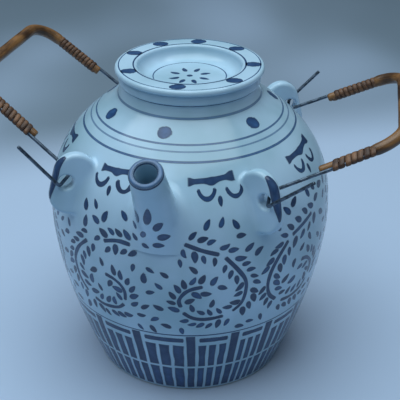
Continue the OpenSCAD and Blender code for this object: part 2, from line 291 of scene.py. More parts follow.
def sweep(path, radii, sides, wobble=0.0, rng=None):
    """A round bar along a path, with its grain: distance along it and place round it, for its material."""
    tangents = unit(np.gradient(path, axis=0))
    side = unit(np.cross(tangents[0], (0.31, 0.52, 0.79)))
    turn = np.arange(sides) * 2 * np.pi / sides
    run = along(path)
    vertices, grain = [], []
    for i, (point, tangent, radius) in enumerate(zip(path, tangents, radii)):
        side = unit(side - tangent * np.dot(side, tangent))
        other = np.cross(tangent, side)
        rough = radius * (1 + wobble * (rng.standard_normal() if rng else 0))
        ring = np.cos(turn)[:, None] * side + np.sin(turn)[:, None] * other
        vertices.append(point + ring * rough)
        grain.append(np.stack([np.full(sides, run[i]), np.cos(turn) * radius, np.sin(turn) * radius], -1))
    vertices = np.concatenate(vertices + [path[:1], path[-1:]])
    grain = np.concatenate(grain + [[(run[0], 0, 0)], [(run[-1], 0, 0)]])
    return vertices, capped(len(path), sides), grain


def joined(parts):
    """One set of vertices, faces and grain out of several."""
    vertices, faces, grain, count = [], [], [], 0
    for part_vertices, part_faces, part_grain in parts:
        vertices.append(part_vertices)
        grain.append(part_grain)
        faces += [tuple(i + count for i in face) for face in part_faces]
        count += len(part_vertices)
    return np.concatenate(vertices), faces, np.concatenate(grain)


# ---- Clay forms ---------------------------------------------------------------------------------------


def facing(azimuth, radius=1.0, height=0.0):
    """Points at a radius and height, in the direction of an azimuth counted from the spout."""
    return np.stack(np.broadcast_arrays(radius * np.sin(azimuth), -radius * np.cos(azimuth), height), -1)


def body_radius(pot, z):
    """Outer radius of the body at height z, up to the top of the shoulder."""
    below = np.clip((pot.belly_z - z) / pot.belly_z, 0, None)
    above = np.clip((z - pot.belly_z) / (pot.shoulder_z - pot.belly_z), 0, 1)
    return (pot.belly_r - (pot.belly_r - pot.foot_r) * below ** pot.lower_fullness
            - (pot.belly_r - pot.neck_base_r) * above ** pot.upper_fullness)


def ease(t):
    """A smooth step from 0 to 1."""
    t = np.clip(t, 0, 1)
    return t * t * (3 - 2 * t)


def neck_radius(pot, z):
    """Outer radius of the neck at height z."""
    up = z - pot.shoulder_z
    bow = np.sin(np.clip(up / pot.waist_h, 0, 1) * np.pi / 2)
    narrowed = pot.neck_base_r - (pot.neck_base_r - pot.waist_r) * bow
    return narrowed + (pot.lip_r - pot.waist_r) * ease((up - pot.waist_h) / (1.8 * MM))


def outer_radius(pot, z):
    """Outer radius of the body and neck at height z."""
    return np.where(z < pot.shoulder_z, body_radius(pot, z), neck_radius(pot, z))


def body_field(pot, points):
    """Distance outside the body, square to its surface, negative inside."""
    z = points[:, 2]
    step = 0.1 * MM
    lean = (outer_radius(pot, z + step) - outer_radius(pot, z - step)) / (2 * step)
    return (np.hypot(points[:, 0], points[:, 1]) - outer_radius(pot, z)) / np.sqrt(1 + lean * lean)


def blended(a, b, reach):
    """The union of two forms, filleted where they meet."""
    near = np.clip(reach - np.abs(a - b), 0, None) / reach
    return np.minimum(a, b) - near * near * reach / 4


def carved(form, tool, reach):
    """A form with a tool's form taken out, with its edges rounded over."""
    return -blended(-form, tool, reach)


def spout_place(spout):
    """The middle of the spout's mouth, and the direction that the spout points in."""
    mouth = np.array([0, -spout.reach, spout.mouth_z])
    return mouth, np.array([0, -math.cos(spout.pitch), math.sin(spout.pitch)])


def spout_fields(spout, points):
    """Distances outside the spout's outer form and outside its hollow."""
    mouth, axis = spout_place(spout)
    out = (points - mouth) @ axis
    off_axis = np.linalg.norm(points - mouth - out[:, None] * axis, axis=1)
    lip_r = (spout.mouth_r - spout.bore_r) / 2
    taper = (spout.root_r - spout.mouth_r) / spout.run
    cone = np.maximum(off_axis - (spout.mouth_r - taper * (out + lip_r)), out + lip_r)
    lip = np.hypot(off_axis - spout.bore_r - lip_r, out + lip_r) - lip_r
    narrow = np.clip((-out - spout.bore_len) / (spout.run - spout.bore_len), 0, 1)
    hollow = off_axis - (spout.bore_r + (spout.hollow_r - spout.bore_r) * narrow)
    return blended(cone, lip, 0.5 * MM), hollow


def ear_places(pot, ears):
    """Each ear's hole and its axes: outwards, along the hole, and up."""
    height = JOINTS["left_bail_swing"]["pos_m"][2]
    hole_r = float(body_radius(pot, np.array(height))) + ears.reach
    places = {}
    for end in ENDS:
        azimuth, face = getattr(ears, end + "_az"), getattr(ears, end + "_face")
        for side, sign in (("left", -1), ("right", 1)):
            hole = facing(sign * azimuth, hole_r, height)
            outwards = facing(sign * face)
            through = np.cross((0, 0, 1), outwards)
            places[end, side] = SimpleNamespace(hole=hole, axes=np.stack([outwards, through, (0, 0, 1)], -1))
    return places


def ear_fields(ears, place, points):
    """Distances outside an ear's plate and outside the hole through it."""
    flat_x, y, flat_z = ((points - place.hole) @ place.axes).T
    x = flat_x * math.cos(ears.tilt) + flat_z * math.sin(ears.tilt)
    z = flat_z * math.cos(ears.tilt) - flat_x * math.sin(ears.tilt)
    above = z - np.clip(z, ears.crown - ears.straight, ears.crown)
    outline = np.hypot(x - ears.lip + ears.outline_r, above) - ears.outline_r
    flat = np.stack([outline + ears.edge_r, np.abs(y) - ears.thickness / 2 + ears.edge_r], -1)
    plate = np.linalg.norm(np.maximum(flat, 0), axis=1) + np.minimum(flat.max(1), 0) - ears.edge_r
    return plate, np.hypot(x, z) - ears.hole_r


def pot_field(pot, spout, ears, places, points):
    """Distance outside the whole pot with its spout and ears, their joints blended."""
    field = blended(body_field(pot, points), spout_fields(spout, points)[0], spout.flare)
    for place in places.values():
        field = blended(field, ear_fields(ears, place, points)[0], ears.blend)
    return field


def gradient(field, points):
    """How a field changes in each direction at some points."""
    step = 0.02 * MM
    slopes = [(field(points + shift) - field(points - shift)) / (2 * step) for shift in np.eye(3) * step]
    return np.stack(slopes, -1)


def settle(field, points, rounds=4, furthest=2 * MM):
    """Moves points onto the zero surface of a field."""
    for _ in range(rounds):
        slope = gradient(field, points)
        move = -slope * (field(points) / np.maximum((slope ** 2).sum(1), 1e-6))[:, None]
        size = np.linalg.norm(move, axis=1, keepdims=True)
        points = points + move * np.minimum(1, furthest / np.maximum(size, 1e-9))
    return points


def cast(field, points, way, rounds=60):
    """Moves points in one direction until they meet a field's zero surface."""
    for _ in range(rounds):
        points = points + way * field(points)[:, None]
    return points


def net(field, low, high, cell):
    """Vertices and quads of the zero surface of a field, one vertex to each cell that it crosses."""
    axes = [np.arange(low[i], high[i] + cell, cell) for i in range(3)]
    grid = np.stack(np.meshgrid(*axes, indexing="ij"), -1)
    value = field(grid.reshape(-1, 3)).reshape(grid.shape[:3])
    cells = [n - 1 for n in value.shape]
    total, crossings = np.zeros(cells + [3]), np.zeros(cells)
    edges = []
    for d in range(3):
        u, v = (d + 1) % 3, (d + 2) % 3
        first = tuple(slice(0, -1) if i == d else slice(None) for i in range(3))
        second = tuple(slice(1, None) if i == d else slice(None) for i in range(3))
        lower, upper = value[first], value[second]
        crossed = (lower < 0) != (upper < 0)
        share = np.where(crossed, lower / np.where(crossed, lower - upper, 1), 0)
        point = grid[first].copy()
        point[..., d] += share * cell
        for du, dv in ((0, 0), (0, 1), (1, 0), (1, 1)):
            part = [slice(None)] * 3
            part[u] = slice(du, value.shape[u] - 1 + du)
            part[v] = slice(dv, value.shape[v] - 1 + dv)
            part = tuple(part)
            total += np.where(crossed[part][..., None], point[part], 0)
            crossings += crossed[part]
        edges.append((d, u, v, crossed, lower < 0))
    used = crossings > 0
    number = np.full(cells, -1)
    number[used] = np.arange(used.sum())
    quads = []
    for d, u, v, crossed, inside_low in edges:
        place = np.argwhere(crossed)
        for axis in (u, v):
            place = place[(place[:, axis] > 0) & (place[:, axis] < cells[axis])]
        corners = []
        for du, dv in ((1, 1), (0, 1), (0, 0), (1, 0)):
            corner = place.copy()
            corner[:, u] -= du
            corner[:, v] -= dv
            corners.append(number[tuple(corner.T)])
        quad = np.stack(corners, -1)
        outward = inside_low[tuple(place.T)]
        quads.append(np.where(outward[:, None], quad, quad[:, ::-1]))
    vertices = total[used] / crossings[used][:, None]
    return vertices, np.concatenate(quads).tolist()


def luted(name, field, centre, reach, cell, replaces):
    """A clay piece whose surface is the zero surface of a field, on the pot."""
    vertices, faces = net(field, centre - reach, centre + reach, cell)
    vertices = settle(field, vertices, furthest=cell / 2)
    return add_mesh(name, vertices, faces, "pot", porcelain(),
                    normals=unit(gradient(field, vertices)), replaces=(replaces,))


# ---- Finishes -----------------------------------------------------------------------------------------


class Socket:
    """An output socket of a finish's nodes, which takes part in sums."""

    def __init__(self, finish, socket):
        self.finish, self.socket = finish, socket

    def __add__(self, other):
        return self.finish.math("ADD", self, other)

    def __radd__(self, other):
        return self.finish.math("ADD", other, self)

    def __sub__(self, other):
        return self.finish.math("SUBTRACT", self, other)

    def __rsub__(self, other):
        return self.finish.math("SUBTRACT", other, self)

    def __mul__(self, other):
        return self.finish.math("MULTIPLY", self, other)

    def __rmul__(self, other):
        return self.finish.math("MULTIPLY", other, self)


class Finish:
    """A material whose nodes are written as expressions."""

    def __init__(self, name):
        self.material = bpy.data.materials.new(name)
        self.material.use_nodes = True
        self.tree = self.material.node_tree
        self.tree.nodes.clear()

    def node(self, kind, settings=None, values=None, output=0):
        """Adds a node with its settings and its sockets' values or links, and returns one of its outputs."""
        made = self.tree.nodes.new("ShaderNode" + kind)
        for key, value in (settings or {}).items():
            setattr(made, key, value)
        for key, value in (values or {}).items():
            if isinstance(value, Socket):
                self.tree.links.new(value.socket, made.inputs[key])
            else:
                made.inputs[key].default_value = value
        return Socket(self, made.outputs[output]) if len(made.outputs) else None

    def math(self, operation, *values, clamp=False):
        """A Math node on values or links."""
        return self.node("Math", {"operation": operation, "use_clamp": clamp}, dict(enumerate(values)))

    def mix(self, share, a, b):
        """One colour turning into another as share goes from 0 to 1."""
        a, b = (value if isinstance(value, Socket) else (*value, 1) for value in (a, b))
        return self.node("Mix", {"data_type": "RGBA"}, {0: share, 6: a, 7: b}, output=2)

    def fade(self, value, start, stop):
        """0 before start and 1 after stop, or the other way round, smoothly."""
        return self.node("MapRange", {"interpolation_type": "SMOOTHSTEP"},
                         {"Value": value, "From Min": start, "From Max": stop})

    def noise(self, vector, scale, detail=2.0, roughness=0.5):
        """Noise from 0 to 1."""
        return self.node("TexNoise", None, {"Vector": vector, "Scale": scale, "Detail": detail,
                                            "Roughness": roughness})

    def stretched(self, vector, scale):
        """A vector with each part scaled."""
        return self.node("VectorMath", {"operation": "MULTIPLY"}, {0: vector, 1: scale})

    def attribute(self, name, output="Fac"):
        """A value that the mesh carries."""
        return self.node("Attribute", {"attribute_name": name}, output=output)

    def bump(self, height, distance, strength):
        """A Bump node."""
        return self.node("Bump", None, {"Height": height, "Distance": distance, "Strength": strength})

    def surface(self, **sockets):
        """Ends the material in a Principled shader with these sockets."""
        values = {key.replace("_", " ").title().replace("Ior", "IOR"): value for key, value in sockets.items()}
        shader = self.node("BsdfPrincipled", None, values)
        self.node("OutputMaterial", None, {"Surface": shader})
        return self.material


FINISHES = {}


def kept(make):
    """Makes a finish once, and gives the same one each time after that."""
    def wrapped():
        if make.__name__ not in FINISHES:
            FINISHES[make.__name__] = make()
        return FINISHES[make.__name__]
    return wrapped


def hues():
    """The colours of the finishes."""
    return bpy.context.scene.teapot_colours


@kept
def porcelain():
    """Glossy glaze over white clay, with cobalt under it where the mesh carries paint."""
    f, c = Finish("porcelain"), hues()
    place = f.node("TexCoord", output="Object")
    cloud = f.noise(place, 18, 3)
    speck = f.noise(place, 420, 2)
    glaze = f.mix(f.fade(cloud, 0.35, 0.7), c.glaze, c.glaze_pooled)
    cover, pool, wash = f.attribute("cobalt"), f.attribute("pool"), f.attribute("wash")
    streak = f.noise(place, 160, 3, 0.6)
    thin = f.math("MULTIPLY", pool * wash, f.fade(streak, 0.25, 0.75) * 0.6 + 0.55, clamp=True)
    ink = f.mix(thin, c.cobalt, c.cobalt_thin)
    colour_now = f.mix(cover * (0.97 - 0.1 * streak), glaze, ink)
    height = f.node("SeparateXYZ", None, {0: place}, output="Z")
    bare = 1 - f.fade(height + 0.0006 * cloud, 0.0009, 0.0015)
    return f.surface(
        base_color=f.mix(bare, colour_now, c.clay),
        roughness=0.13 + 0.06 * cloud + 0.45 * bare,
        ior=1.44,
        normal=f.bump(cloud + 0.12 * speck, 0.25 * MM, 0.5))


@kept
def steel():
    """Drawn wire, dulled and stained."""
    f, c = Finish("steel_wire"), hues()
    grain = f.attribute("grain", "Vector")
    stain = f.noise(f.stretched(grain, (1, 1.5, 1.5)), 260, 4, 0.6)
    lines = f.noise(f.stretched(grain, (0.04, 1, 1)), 2600, 2)
    return f.surface(
        base_color=f.mix(f.fade(stain, 0.42, 0.66), c.steel, c.steel_dark),
        metallic=1.0 - 0.55 * f.fade(stain, 0.5, 0.7),
        roughness=0.34 + 0.3 * stain,
        normal=f.bump(lines + 0.8 * stain, 0.05 * MM, 0.5))


@kept
def rattan():
    """Smooth rattan with fine fibres along it and a darker handled tone."""
    f, c = Finish("rattan"), hues()
    grain = f.attribute("grain", "Vector")
    fibres = f.noise(f.stretched(grain, (0.035, 1, 1)), 1500, 3, 0.6)
    tone = f.noise(f.stretched(grain, (0.5, 1, 1)), 90, 3)
    shade = f.mix(f.fade(tone + 0.5 * fibres, 0.6, 0.95), c.rattan, c.rattan_dark)
    return f.surface(
        base_color=shade,
        roughness=0.3 + 0.25 * fibres,
        coat_weight=0.12,
        coat_roughness=0.2,
        normal=f.bump(fibres, 0.12 * MM, 0.6))


@kept
def cane():
    """Split cane, fibrous along the strip, each turn a little different, darkened at the strip's edges as
    painted shade in the grooves between turns.
    """
    f, c = Finish("split_cane"), hues()
    grain = f.attribute("grain", "Vector")
    fibres = f.noise(f.stretched(grain, (0.06, 1, 0.02)), 2600, 3, 0.65)
    turn = f.noise(f.stretched(grain, (1, 0.1, 1)), 70, 2)
    # Darker towards each strip's edge: painted shade in the grooves between the turns.
    edge = f.attribute("edge")
    shade = f.mix(f.fade(turn + 0.45 * fibres, 0.5, 0.95), c.cane, c.cane_dark)
    return f.surface(
        base_color=f.mix(edge * edge * 0.75, shade, c.cane_dark),
        roughness=0.42 + 0.25 * fibres,
        normal=f.bump(fibres, 0.15 * MM, 0.7))


# ---- Thrown body --------------------------------------------------------------------------------------

BODY_COLUMNS, LID_COLUMNS = 320, 256
PIN_REACH = 40 * MM     # how far the strainer's pins reach past the spout's root


def inner_point(pot, z):
    """The point one wall inside the body's surface at height z."""
    step = 0.1 * MM
    lean = (body_radius(pot, z + step) - body_radius(pot, z - step)) / (2 * step)
    depth = pot.wall / np.sqrt(1 + lean * lean)
    return np.stack([body_radius(pot, z) - depth, z + depth * lean], -1)


def pot_outline(pot):
    """Outline of the body's cross-section: underside, foot, outside, lip and inside."""
    recess, ring_in = pot.foot_recess, pot.foot_r - pot.foot_ring_w
    floor_z = recess + pot.wall
    round_r, recess_r, lip_r = 1.2 * MM, 2 * MM, 1 * MM       # roundings of the foot, its recess and the lip
    fine_z = 30 * MM                                          # height up to which the rows lie closer
    heights = np.concatenate([np.linspace(round_r, fine_z, 26), np.linspace(fine_z, pot.shoulder_z, 140)[1:]])
    neck = pot.shoulder_z + np.linspace(0, pot.lip_z - pot.shoulder_z - lip_r, 26)[1:]
    lip = pot.lip_z - lip_r
    inside = inner_point(pot, np.linspace(pot.shoulder_z, floor_z + 4 * MM, 46))
    inside = inside[inside[:, 1] > floor_z + pot.wall]
    return np.vstack([
        [[0, recess], [ring_in - recess_r, recess]],
        arc((ring_in - recess_r, recess - recess_r), recess_r, 90, 0, 5)[1:],
        arc((ring_in + round_r, round_r), round_r, 180, 270, 5),
        arc((float(outer_radius(pot, np.array(round_r))) - round_r, round_r), round_r, 270, 350, 6),
        np.stack([outer_radius(pot, heights), heights], -1),
        np.stack([outer_radius(pot, neck), neck], -1),
        arc((pot.lip_r - lip_r, lip), lip_r, 15, 90, 6),
        arc((pot.bore_r + lip_r, lip), lip_r, 90, 180, 6),
        [[pot.bore_r, inside[0][1] + 0.8 * (inside[0][0] - pot.bore_r)]],
        inside,
        [[inside[-1][0] - 3 * MM, floor_z + 1.5 * MM], [inside[-1][0] - 7 * MM, floor_z], [0, floor_z]]])


def strainer_tool(pot, spout):
    """Seven pins that stand in the strainer holes behind the spout."""
    mouth, axis = spout_place(spout)
    side = np.array([1.0, 0, 0])
    up = np.cross(axis, side)
    parts = []
    for i in range(7):
        turn = i * math.pi / 3
        shift = spout.strainer_pitch * (math.cos(turn) * side + math.sin(turn) * up) if i < 6 else 0
        ends = [mouth - axis * out + shift for out in (spout.run / 2, spout.run + PIN_REACH)]
        path = resample(np.array(ends), 8 * MM)
        parts.append(sweep(path, [spout.strainer_r] * len(path), 24))
    return joined(parts)


class TEAPOT_OT_body(bpy.types.Operator):
    """Thrown body with its neck, foot ring and strainer holes"""
    bl_idname = "teapot.body"
    bl_label = "Thrown body"

    def execute(self, context):
        pot, spout = context.scene.teapot_pot, context.scene.teapot_spout
        vertices, faces = revolve(pot_outline(pot), BODY_COLUMNS)
        piece = add_mesh("pot_body_glazed", vertices, faces, "pot", porcelain(),
                         replaces=("pot_body",))
        pins, pin_faces, _ = strainer_tool(pot, spout)
        tool = bpy.data.meshes.new("strainer_tool")
        tool.from_pydata(pins.tolist(), [], pin_faces)
        cutter = bpy.data.objects.new("strainer_tool", tool)
        context.scene.collection.objects.link(cutter)
        cut = piece.modifiers.new("strainer", "BOOLEAN")
        cut.operation, cut.object, cut.solver = "DIFFERENCE", cutter, "EXACT"
        context.view_layer.update()
        done = bpy.data.meshes.new_from_object(piece.evaluated_get(context.evaluated_depsgraph_get()))
        piece.modifiers.clear()
        piece.data = done
        bpy.data.objects.remove(cutter)
        return {"FINISHED"}


# ---- Lid ----------------------------------------------------------------------------------------------

DISH_SHOULDER = ((6, 0), (2.4, 0), (1.2, 0.12), (0.45, 0.6))    # out from the dish, and down from the rim


def lid_outline(lid, lip_z):
    """Outline of the lid's cross-section: underside, ring, rim, dish."""
    corner_z = lid.top_z - lid.depth + lid.corner_r
    under_r = lid.corner_r + lid.floor_t
    ring_in = lid.ring_r - lid.ring_t
    under_end = math.degrees(math.asin((ring_in - lid.floor_r) / under_r))
    half = lid.rim_t / 2
    ring_z, soft = lip_z - lid.ring_h, 0.9 * MM
    dish_edge = lid.floor_r + lid.corner_r
    return np.vstack([
        [[0, corner_z - under_r]],
        arc((lid.floor_r, corner_z), under_r, -90, -90 + under_end, 12),
        [[ring_in, ring_z + soft]],
        arc((ring_in + soft, ring_z + soft), soft, 180, 270, 4)[1:],
        arc((lid.ring_r - soft, ring_z + soft), soft, 270, 360, 4),
        [[lid.ring_r, lip_z - 1 * MM], [lid.ring_r + 0.6 * MM, lip_z]],
        arc((lid.radius - half, lip_z + half), half, -90, 90, 18),
        [[dish_edge + out * MM, lid.top_z - down * MM] for out, down in DISH_SHOULDER],
        arc((lid.floor_r, corner_z), lid.corner_r, 0, -90, 14),
        [[lid.floor_r * 0.6, lid.top_z - lid.depth], [0, lid.top_z - lid.depth]]])


class TEAPOT_OT_lid(bpy.types.Operator):
    """Dished lid with its locating ring"""
    bl_idname = "teapot.lid"
    bl_label = "Lid"

    def execute(self, context):
        scene = context.scene
        vertices, faces = revolve(lid_outline(scene.teapot_lid, scene.teapot_pot.lip_z), LID_COLUMNS)
        add_mesh("lid_glazed", vertices, faces, "lid", porcelain(), replaces=("lid",))
        return {"FINISHED"}


# ---- Spout and ears -----------------------------------------------------------------------------------

SUNK = 0.03 * MM        # how far the edge of a luted piece lies under the body's surface
ROOT = 2 * MM           # how far a luted piece goes on inside the body's wall
SPOUT_BOX, SPOUT_CELL = np.array([29, 34, 44]) * MM, 0.75 * MM
SPOUT_MIDDLE = 0.52     # how far down the spout's run the middle of its box lies
EAR_BOX, EAR_CELL = np.array([28, 28, 35]) * MM, 0.7 * MM
EAR_MIDDLE = np.array([-9, 0, -3]) * MM     # the middle of an ear's box, from its hole
MOUTH_SOFT, HOLE_SOFT = 1 * MM, 2 * MM      # roundings where the bore and an ear's hole come out


def luted_form(pot, form, reach, points):
    """A form blended into the body, cut off where the blend ends and inside the wall."""
    body = body_field(pot, points)
    joint = blended(form, body + SUNK, reach)
    return np.maximum(np.maximum(joint, form - reach - 1 * MM), -body - ROOT)


class TEAPOT_OT_spout(bpy.types.Operator):
    """Short straight spout with its bore"""
    bl_idname = "teapot.spout"
    bl_label = "Spout"

    def execute(self, context):
        pot, spout = context.scene.teapot_pot, context.scene.teapot_spout
        mouth, axis = spout_place(spout)

        def field(points):
            outer, hollow = spout_fields(spout, points)
            return carved(luted_form(pot, outer, spout.flare, points), hollow, MOUTH_SOFT)

        middle = mouth - axis * spout.run * SPOUT_MIDDLE
        luted("spout_glazed", field, middle, SPOUT_BOX, SPOUT_CELL, "spout")
        return {"FINISHED"}


class TEAPOT_OT_ears(bpy.types.Operator):
    """Four pierced ears"""
    bl_idname = "teapot.ears"
    bl_label = "Ears"

    def execute(self, context):
        pot, ears = context.scene.teapot_pot, context.scene.teapot_ears
        for (end, side), place in ear_places(pot, ears).items():

            def field(points, place=place):
                plate, hole = ear_fields(ears, place, points)
                return carved(luted_form(pot, plate, ears.blend, points), hole, HOLE_SOFT)

            name = f"ear_{end}_{side}"
            luted(name + "_glazed", field, place.hole + place.axes @ EAR_MIDDLE, EAR_BOX, EAR_CELL, name)
        return {"FINISHED"}


# ---- Bails --------------------------------------------------------------------------------------------

WIRE_STEP, WIRE_SIDES = 0.6 * MM, 16
WIRE_END, WIRE_WOBBLE = 0.8, 0.006      # the cut ends' share of the radius, and how uneven the radius is
GRIP_STEP, GRIP_SIDES, GRIP_END = 1.0 * MM, 28, 0.86
PARE_LAP, PARE_RUN = 5 * MM, 7 * MM     # where the pared rattan begins to thicken, and over what length
CANE_COLUMNS = 30                       # points round a leg
CANE_LEAD = 0.45                        # turns that the strip keeps clear of the binding's ends
CANE_COVER = 0.97                       # the strip's width as a share of its pitch
CANE_PROFILE = ((-0.5, 0), (-0.47, 0.55), (-0.3, 0.92), (0, 1.05), (0.3, 0.92), (0.47, 0.55), (0.5, 0))
CANE_PITCHES = {"left": (3.3, 2.9), "right": (4.1, 3.4)}
CANE_STARTS = {"left": (2.5, 2.5), "right": (6.5, 2.5)}     # above the height at which the rattan begins


class BailPlace:
    """Where a bail stands: its hinge line, from the frame's joint, and the way its loop points."""

    def __init__(self, side):
        scene = bpy.context.scene
        bails = scene.teapot_bails
        joint = JOINTS[side + "_bail_swing"]
        places = ear_places(scene.teapot_pot, scene.teapot_ears)
        self.sign = 1 if side == "right" else -1
        self.middle = np.array(joint["pos_m"])
        hinge = np.array(joint["axis"])
        self.back = hinge if hinge[1] > 0 else -hinge
        outwards = self.sign * np.array([self.back[1], -self.back[0], 0])
        rise = getattr(bails, side + "_rise")
        self.up = math.cos(rise) * outwards + np.array([0, 0, math.sin(rise)])
        self.across = math.sin(rise) * outwards - np.array([0, 0, math.cos(rise)])
        pins = [places[end, side].hole * (1, 1, 0) for end in ENDS]
        pins = [pin * (1 + bails.wire_seat / np.linalg.norm(pin)) for pin in pins]
        self.half = np.linalg.norm(pins[1] - pins[0]) / 2

    def world(self, points):
        """Points given as (across, towards the back, up the loop) in the frame of the whole part."""
        return self.middle + np.asarray(points) @ np.stack([self.across, self.back, self.up])


def bail_layout(place, bails):
    """Sizes that the wires, the grip and the cane of one bail share."""
    core = (bails.pared_d + bails.wire_d) / 2
    leg = place.half - bails.inner_gap
    top = (bails.reach + core * math.sin(bails.lean)) / math.cos(bails.lean)
    bend_start = top - bails.bend_r * math.tan((math.pi / 2 - bails.lean) / 2)
    return SimpleNamespace(core=core, leg=leg, bend_start=bend_start)


def both_bails(bails):
    """Each bail's side, its place, and the sizes that its pieces share."""
    for side in SIDES:
        place = BailPlace(side)
        yield side, place, bail_layout(place, bails)


def on_leg(layout, bails, back, points):
    """Points of a leg's frame (across, towards the other leg, up the leg) in the bail's frame."""
    across, inwards, up = np.asarray(points, float).T
    lean = bails.lean
    y = -layout.leg + inwards * math.cos(lean) + up * math.sin(lean)
    z = -inwards * math.sin(lean) + up * math.cos(lean)
    return np.stack([across, -y if back else y, z], -1)


def elbow(centre, radius, start, stop, count=9):
    """Points round a bend in the loop's plane, from one angle to another, counted from the back."""
    turn = np.linspace(start, stop, count)
    return np.stack([np.zeros(count), centre[0] + radius * np.cos(turn), centre[1] + radius * np.sin(turn)], -1)


def wire_path(place, bails, layout, end):
    """Centre line of a hook wire: bound leg, stretch through the ear, free leg."""
    back = end == "back"
    free, lift = (bails.back_free, bails.back_lift) if back else (bails.front_free, bails.front_lift)
    bend, lean, splay = bails.wire_bend_r, bails.lean, bails.splay
    inner_cut = bend * math.tan((math.pi / 2 - lean) / 2)
    outer_cut = bend * math.tan((math.pi / 2 - splay) / 2)
    corner = place.half + bails.outer_gap
    bound = on_leg(layout, bails, False, [[0, 0, layout.bend_start - 1 * MM], [0, 0, inner_cut]])
    inner = elbow((-layout.leg - inner_cut, bend), bend, -lean, -math.pi / 2)
    outer = elbow((outer_cut - corner, bend), bend, 1.5 * math.pi, math.pi + splay)
    tip = np.array([[0, -corner - free * math.sin(splay), free * math.cos(splay)]])
    swung = np.vstack([outer, tip])
    swung = np.stack([-swung[:, 2] * math.sin(lift), swung[:, 1], swung[:, 2] * math.cos(lift)], -1)
    path = np.vstack([bound, inner, swung])
    if back:
        path = path * (1, -1, 1)
    return place.world(path)


class TEAPOT_OT_wires(bpy.types.Operator):
    """Four steel hook wires"""
    bl_idname = "teapot.wires"
    bl_label = "Hook wires"

    def execute(self, context):
        bails = context.scene.teapot_bails
        rng = np.random.default_rng(7)
        for side, place, layout in both_bails(bails):
            for end in ENDS:
                path = resample(wire_path(place, bails, layout, end), WIRE_STEP)
                radii = np.full(len(path), bails.wire_d / 2)
                radii[[0, -1]] *= WIRE_END
                vertices, faces, grain = sweep(path, radii, WIRE_SIDES, WIRE_WOBBLE, rng)
                name = f"hook_wire_{side}_{end}"
                add_mesh(name + "_drawn", vertices, faces, side + "_bail", steel(),
                         values={"grain": grain}, replaces=(name,))
        return {"FINISHED"}


def grip_path(bails, layout):
    """Centre line of a grip, from the pared end of one leg over the loop to the other."""
    lean, bend = bails.lean, bails.bend_r
    leg = on_leg(layout, bails, False,
                 [[0, layout.core, bails.binding_start], [0, layout.core, layout.bend_start]])
    centre = on_leg(layout, bails, False, [[0, layout.core + bend, layout.bend_start]])[0]
    corner = elbow((centre[1], centre[2]), bend, math.pi - lean, math.pi / 2, 17)
    front = np.vstack([leg, corner])
    return np.vstack([front, (front * (1, -1, 1))[::-1]])


class TEAPOT_OT_grips(bpy.types.Operator):
    """Two grips of bent rattan"""
    bl_idname = "teapot.grips"
    bl_label = "Rattan grips"

    def execute(self, context):
        bails = context.scene.teapot_bails
        for side, place, layout in both_bails(bails):
            path = resample(grip_path(bails, layout), GRIP_STEP)
            run = along(path)
            in_from_end = np.minimum(run, run[-1] - run)
            pared = layout.bend_start - bails.binding_start
            full = ease((in_from_end - pared + PARE_LAP) / PARE_RUN)
            radii = (bails.pared_d + (bails.grip_d - bails.pared_d) * full) / 2
            radii = radii * (1 + 0.012 * np.sin(run / (9 * MM)) + 0.01 * np.sin(run / (3.7 * MM) + 1))
            radii[[0, -1]] *= GRIP_END
            vertices, faces, grain = sweep(place.world(path), radii, GRIP_SIDES)
            grain[:, 0] += 0.4 * (side == "left")
            name = f"rattan_grip_{side}"
            add_mesh(name + "_bent", vertices, faces, side + "_bail", rattan(),
                     values={"grain": grain}, replaces=(name,))
        return {"FINISHED"}


def bound_section(bails, layout, count):
    """Points and outward directions round the wire and the pared rattan that the cane holds together."""
    wire_r, pared_r = bails.wire_d / 2, bails.pared_d / 2
    turn = np.linspace(0, 2 * np.pi, 181)[:-1]
    outwards = np.stack([np.sin(turn), np.cos(turn)], -1)
    on_rattan = layout.core * outwards[:, 1] + pared_r > wire_r
    rim = np.where(on_rattan[:, None], outwards * pared_r + [0, layout.core], outwards * wire_r)
    rim = np.vstack([rim, rim[:1]])
    rim = resample(rim, along(rim)[-1] / count)[:-1]
    ahead, behind = np.roll(rim, -1, 0), np.roll(rim, 1, 0)
    tangent = unit(ahead - behind)
    return rim, np.stack([-tangent[:, 1], tangent[:, 0]], -1)


def wound_cane(bails, layout, back, start, pitch, rng):
    """A strip of split cane wound up one leg: vertices, faces, grain and nearness to the strip's edge, which
    sets the painted shade in the grooves between turns.
    """
    rim, outwards = bound_section(bails, layout, CANE_COLUMNS)
    top = layout.bend_start - 0.4 * MM
    turns = (top - start) / pitch - CANE_LEAD
    steps = int(turns * len(rim))
    knots = np.arange(0, steps + 30, 15)
    wander = np.interp(np.arange(steps), knots, rng.normal(0, 0.05, len(knots)))
    points, grain, edge = [], [], []
    for i in range(steps):
        k = i % len(rim)
        height = start + pitch * (CANE_LEAD + i / len(rim) + wander[i])
        width = pitch * CANE_COVER
        tail = min(i, steps - 1 - i) / 10
        rise = bails.cane_t * min(1, 0.35 + tail)
        for share, lift in CANE_PROFILE:
            spot = rim[k] + outwards[k] * lift * rise
            points.append([spot[0], spot[1], height + share * width])
            grain.append([i / len(rim) * 0.03, share * width, i // len(rim) * 0.01])
            edge.append(abs(share) * 2)
    columns = len(CANE_PROFILE)
    faces = grid_faces(steps, columns, wrap_columns=True)
    faces += [tuple(range(columns))[::-1], tuple(range((steps - 1) * columns, steps * columns))]
    return on_leg(layout, bails, back, points), faces, np.array(grain), np.array(edge)


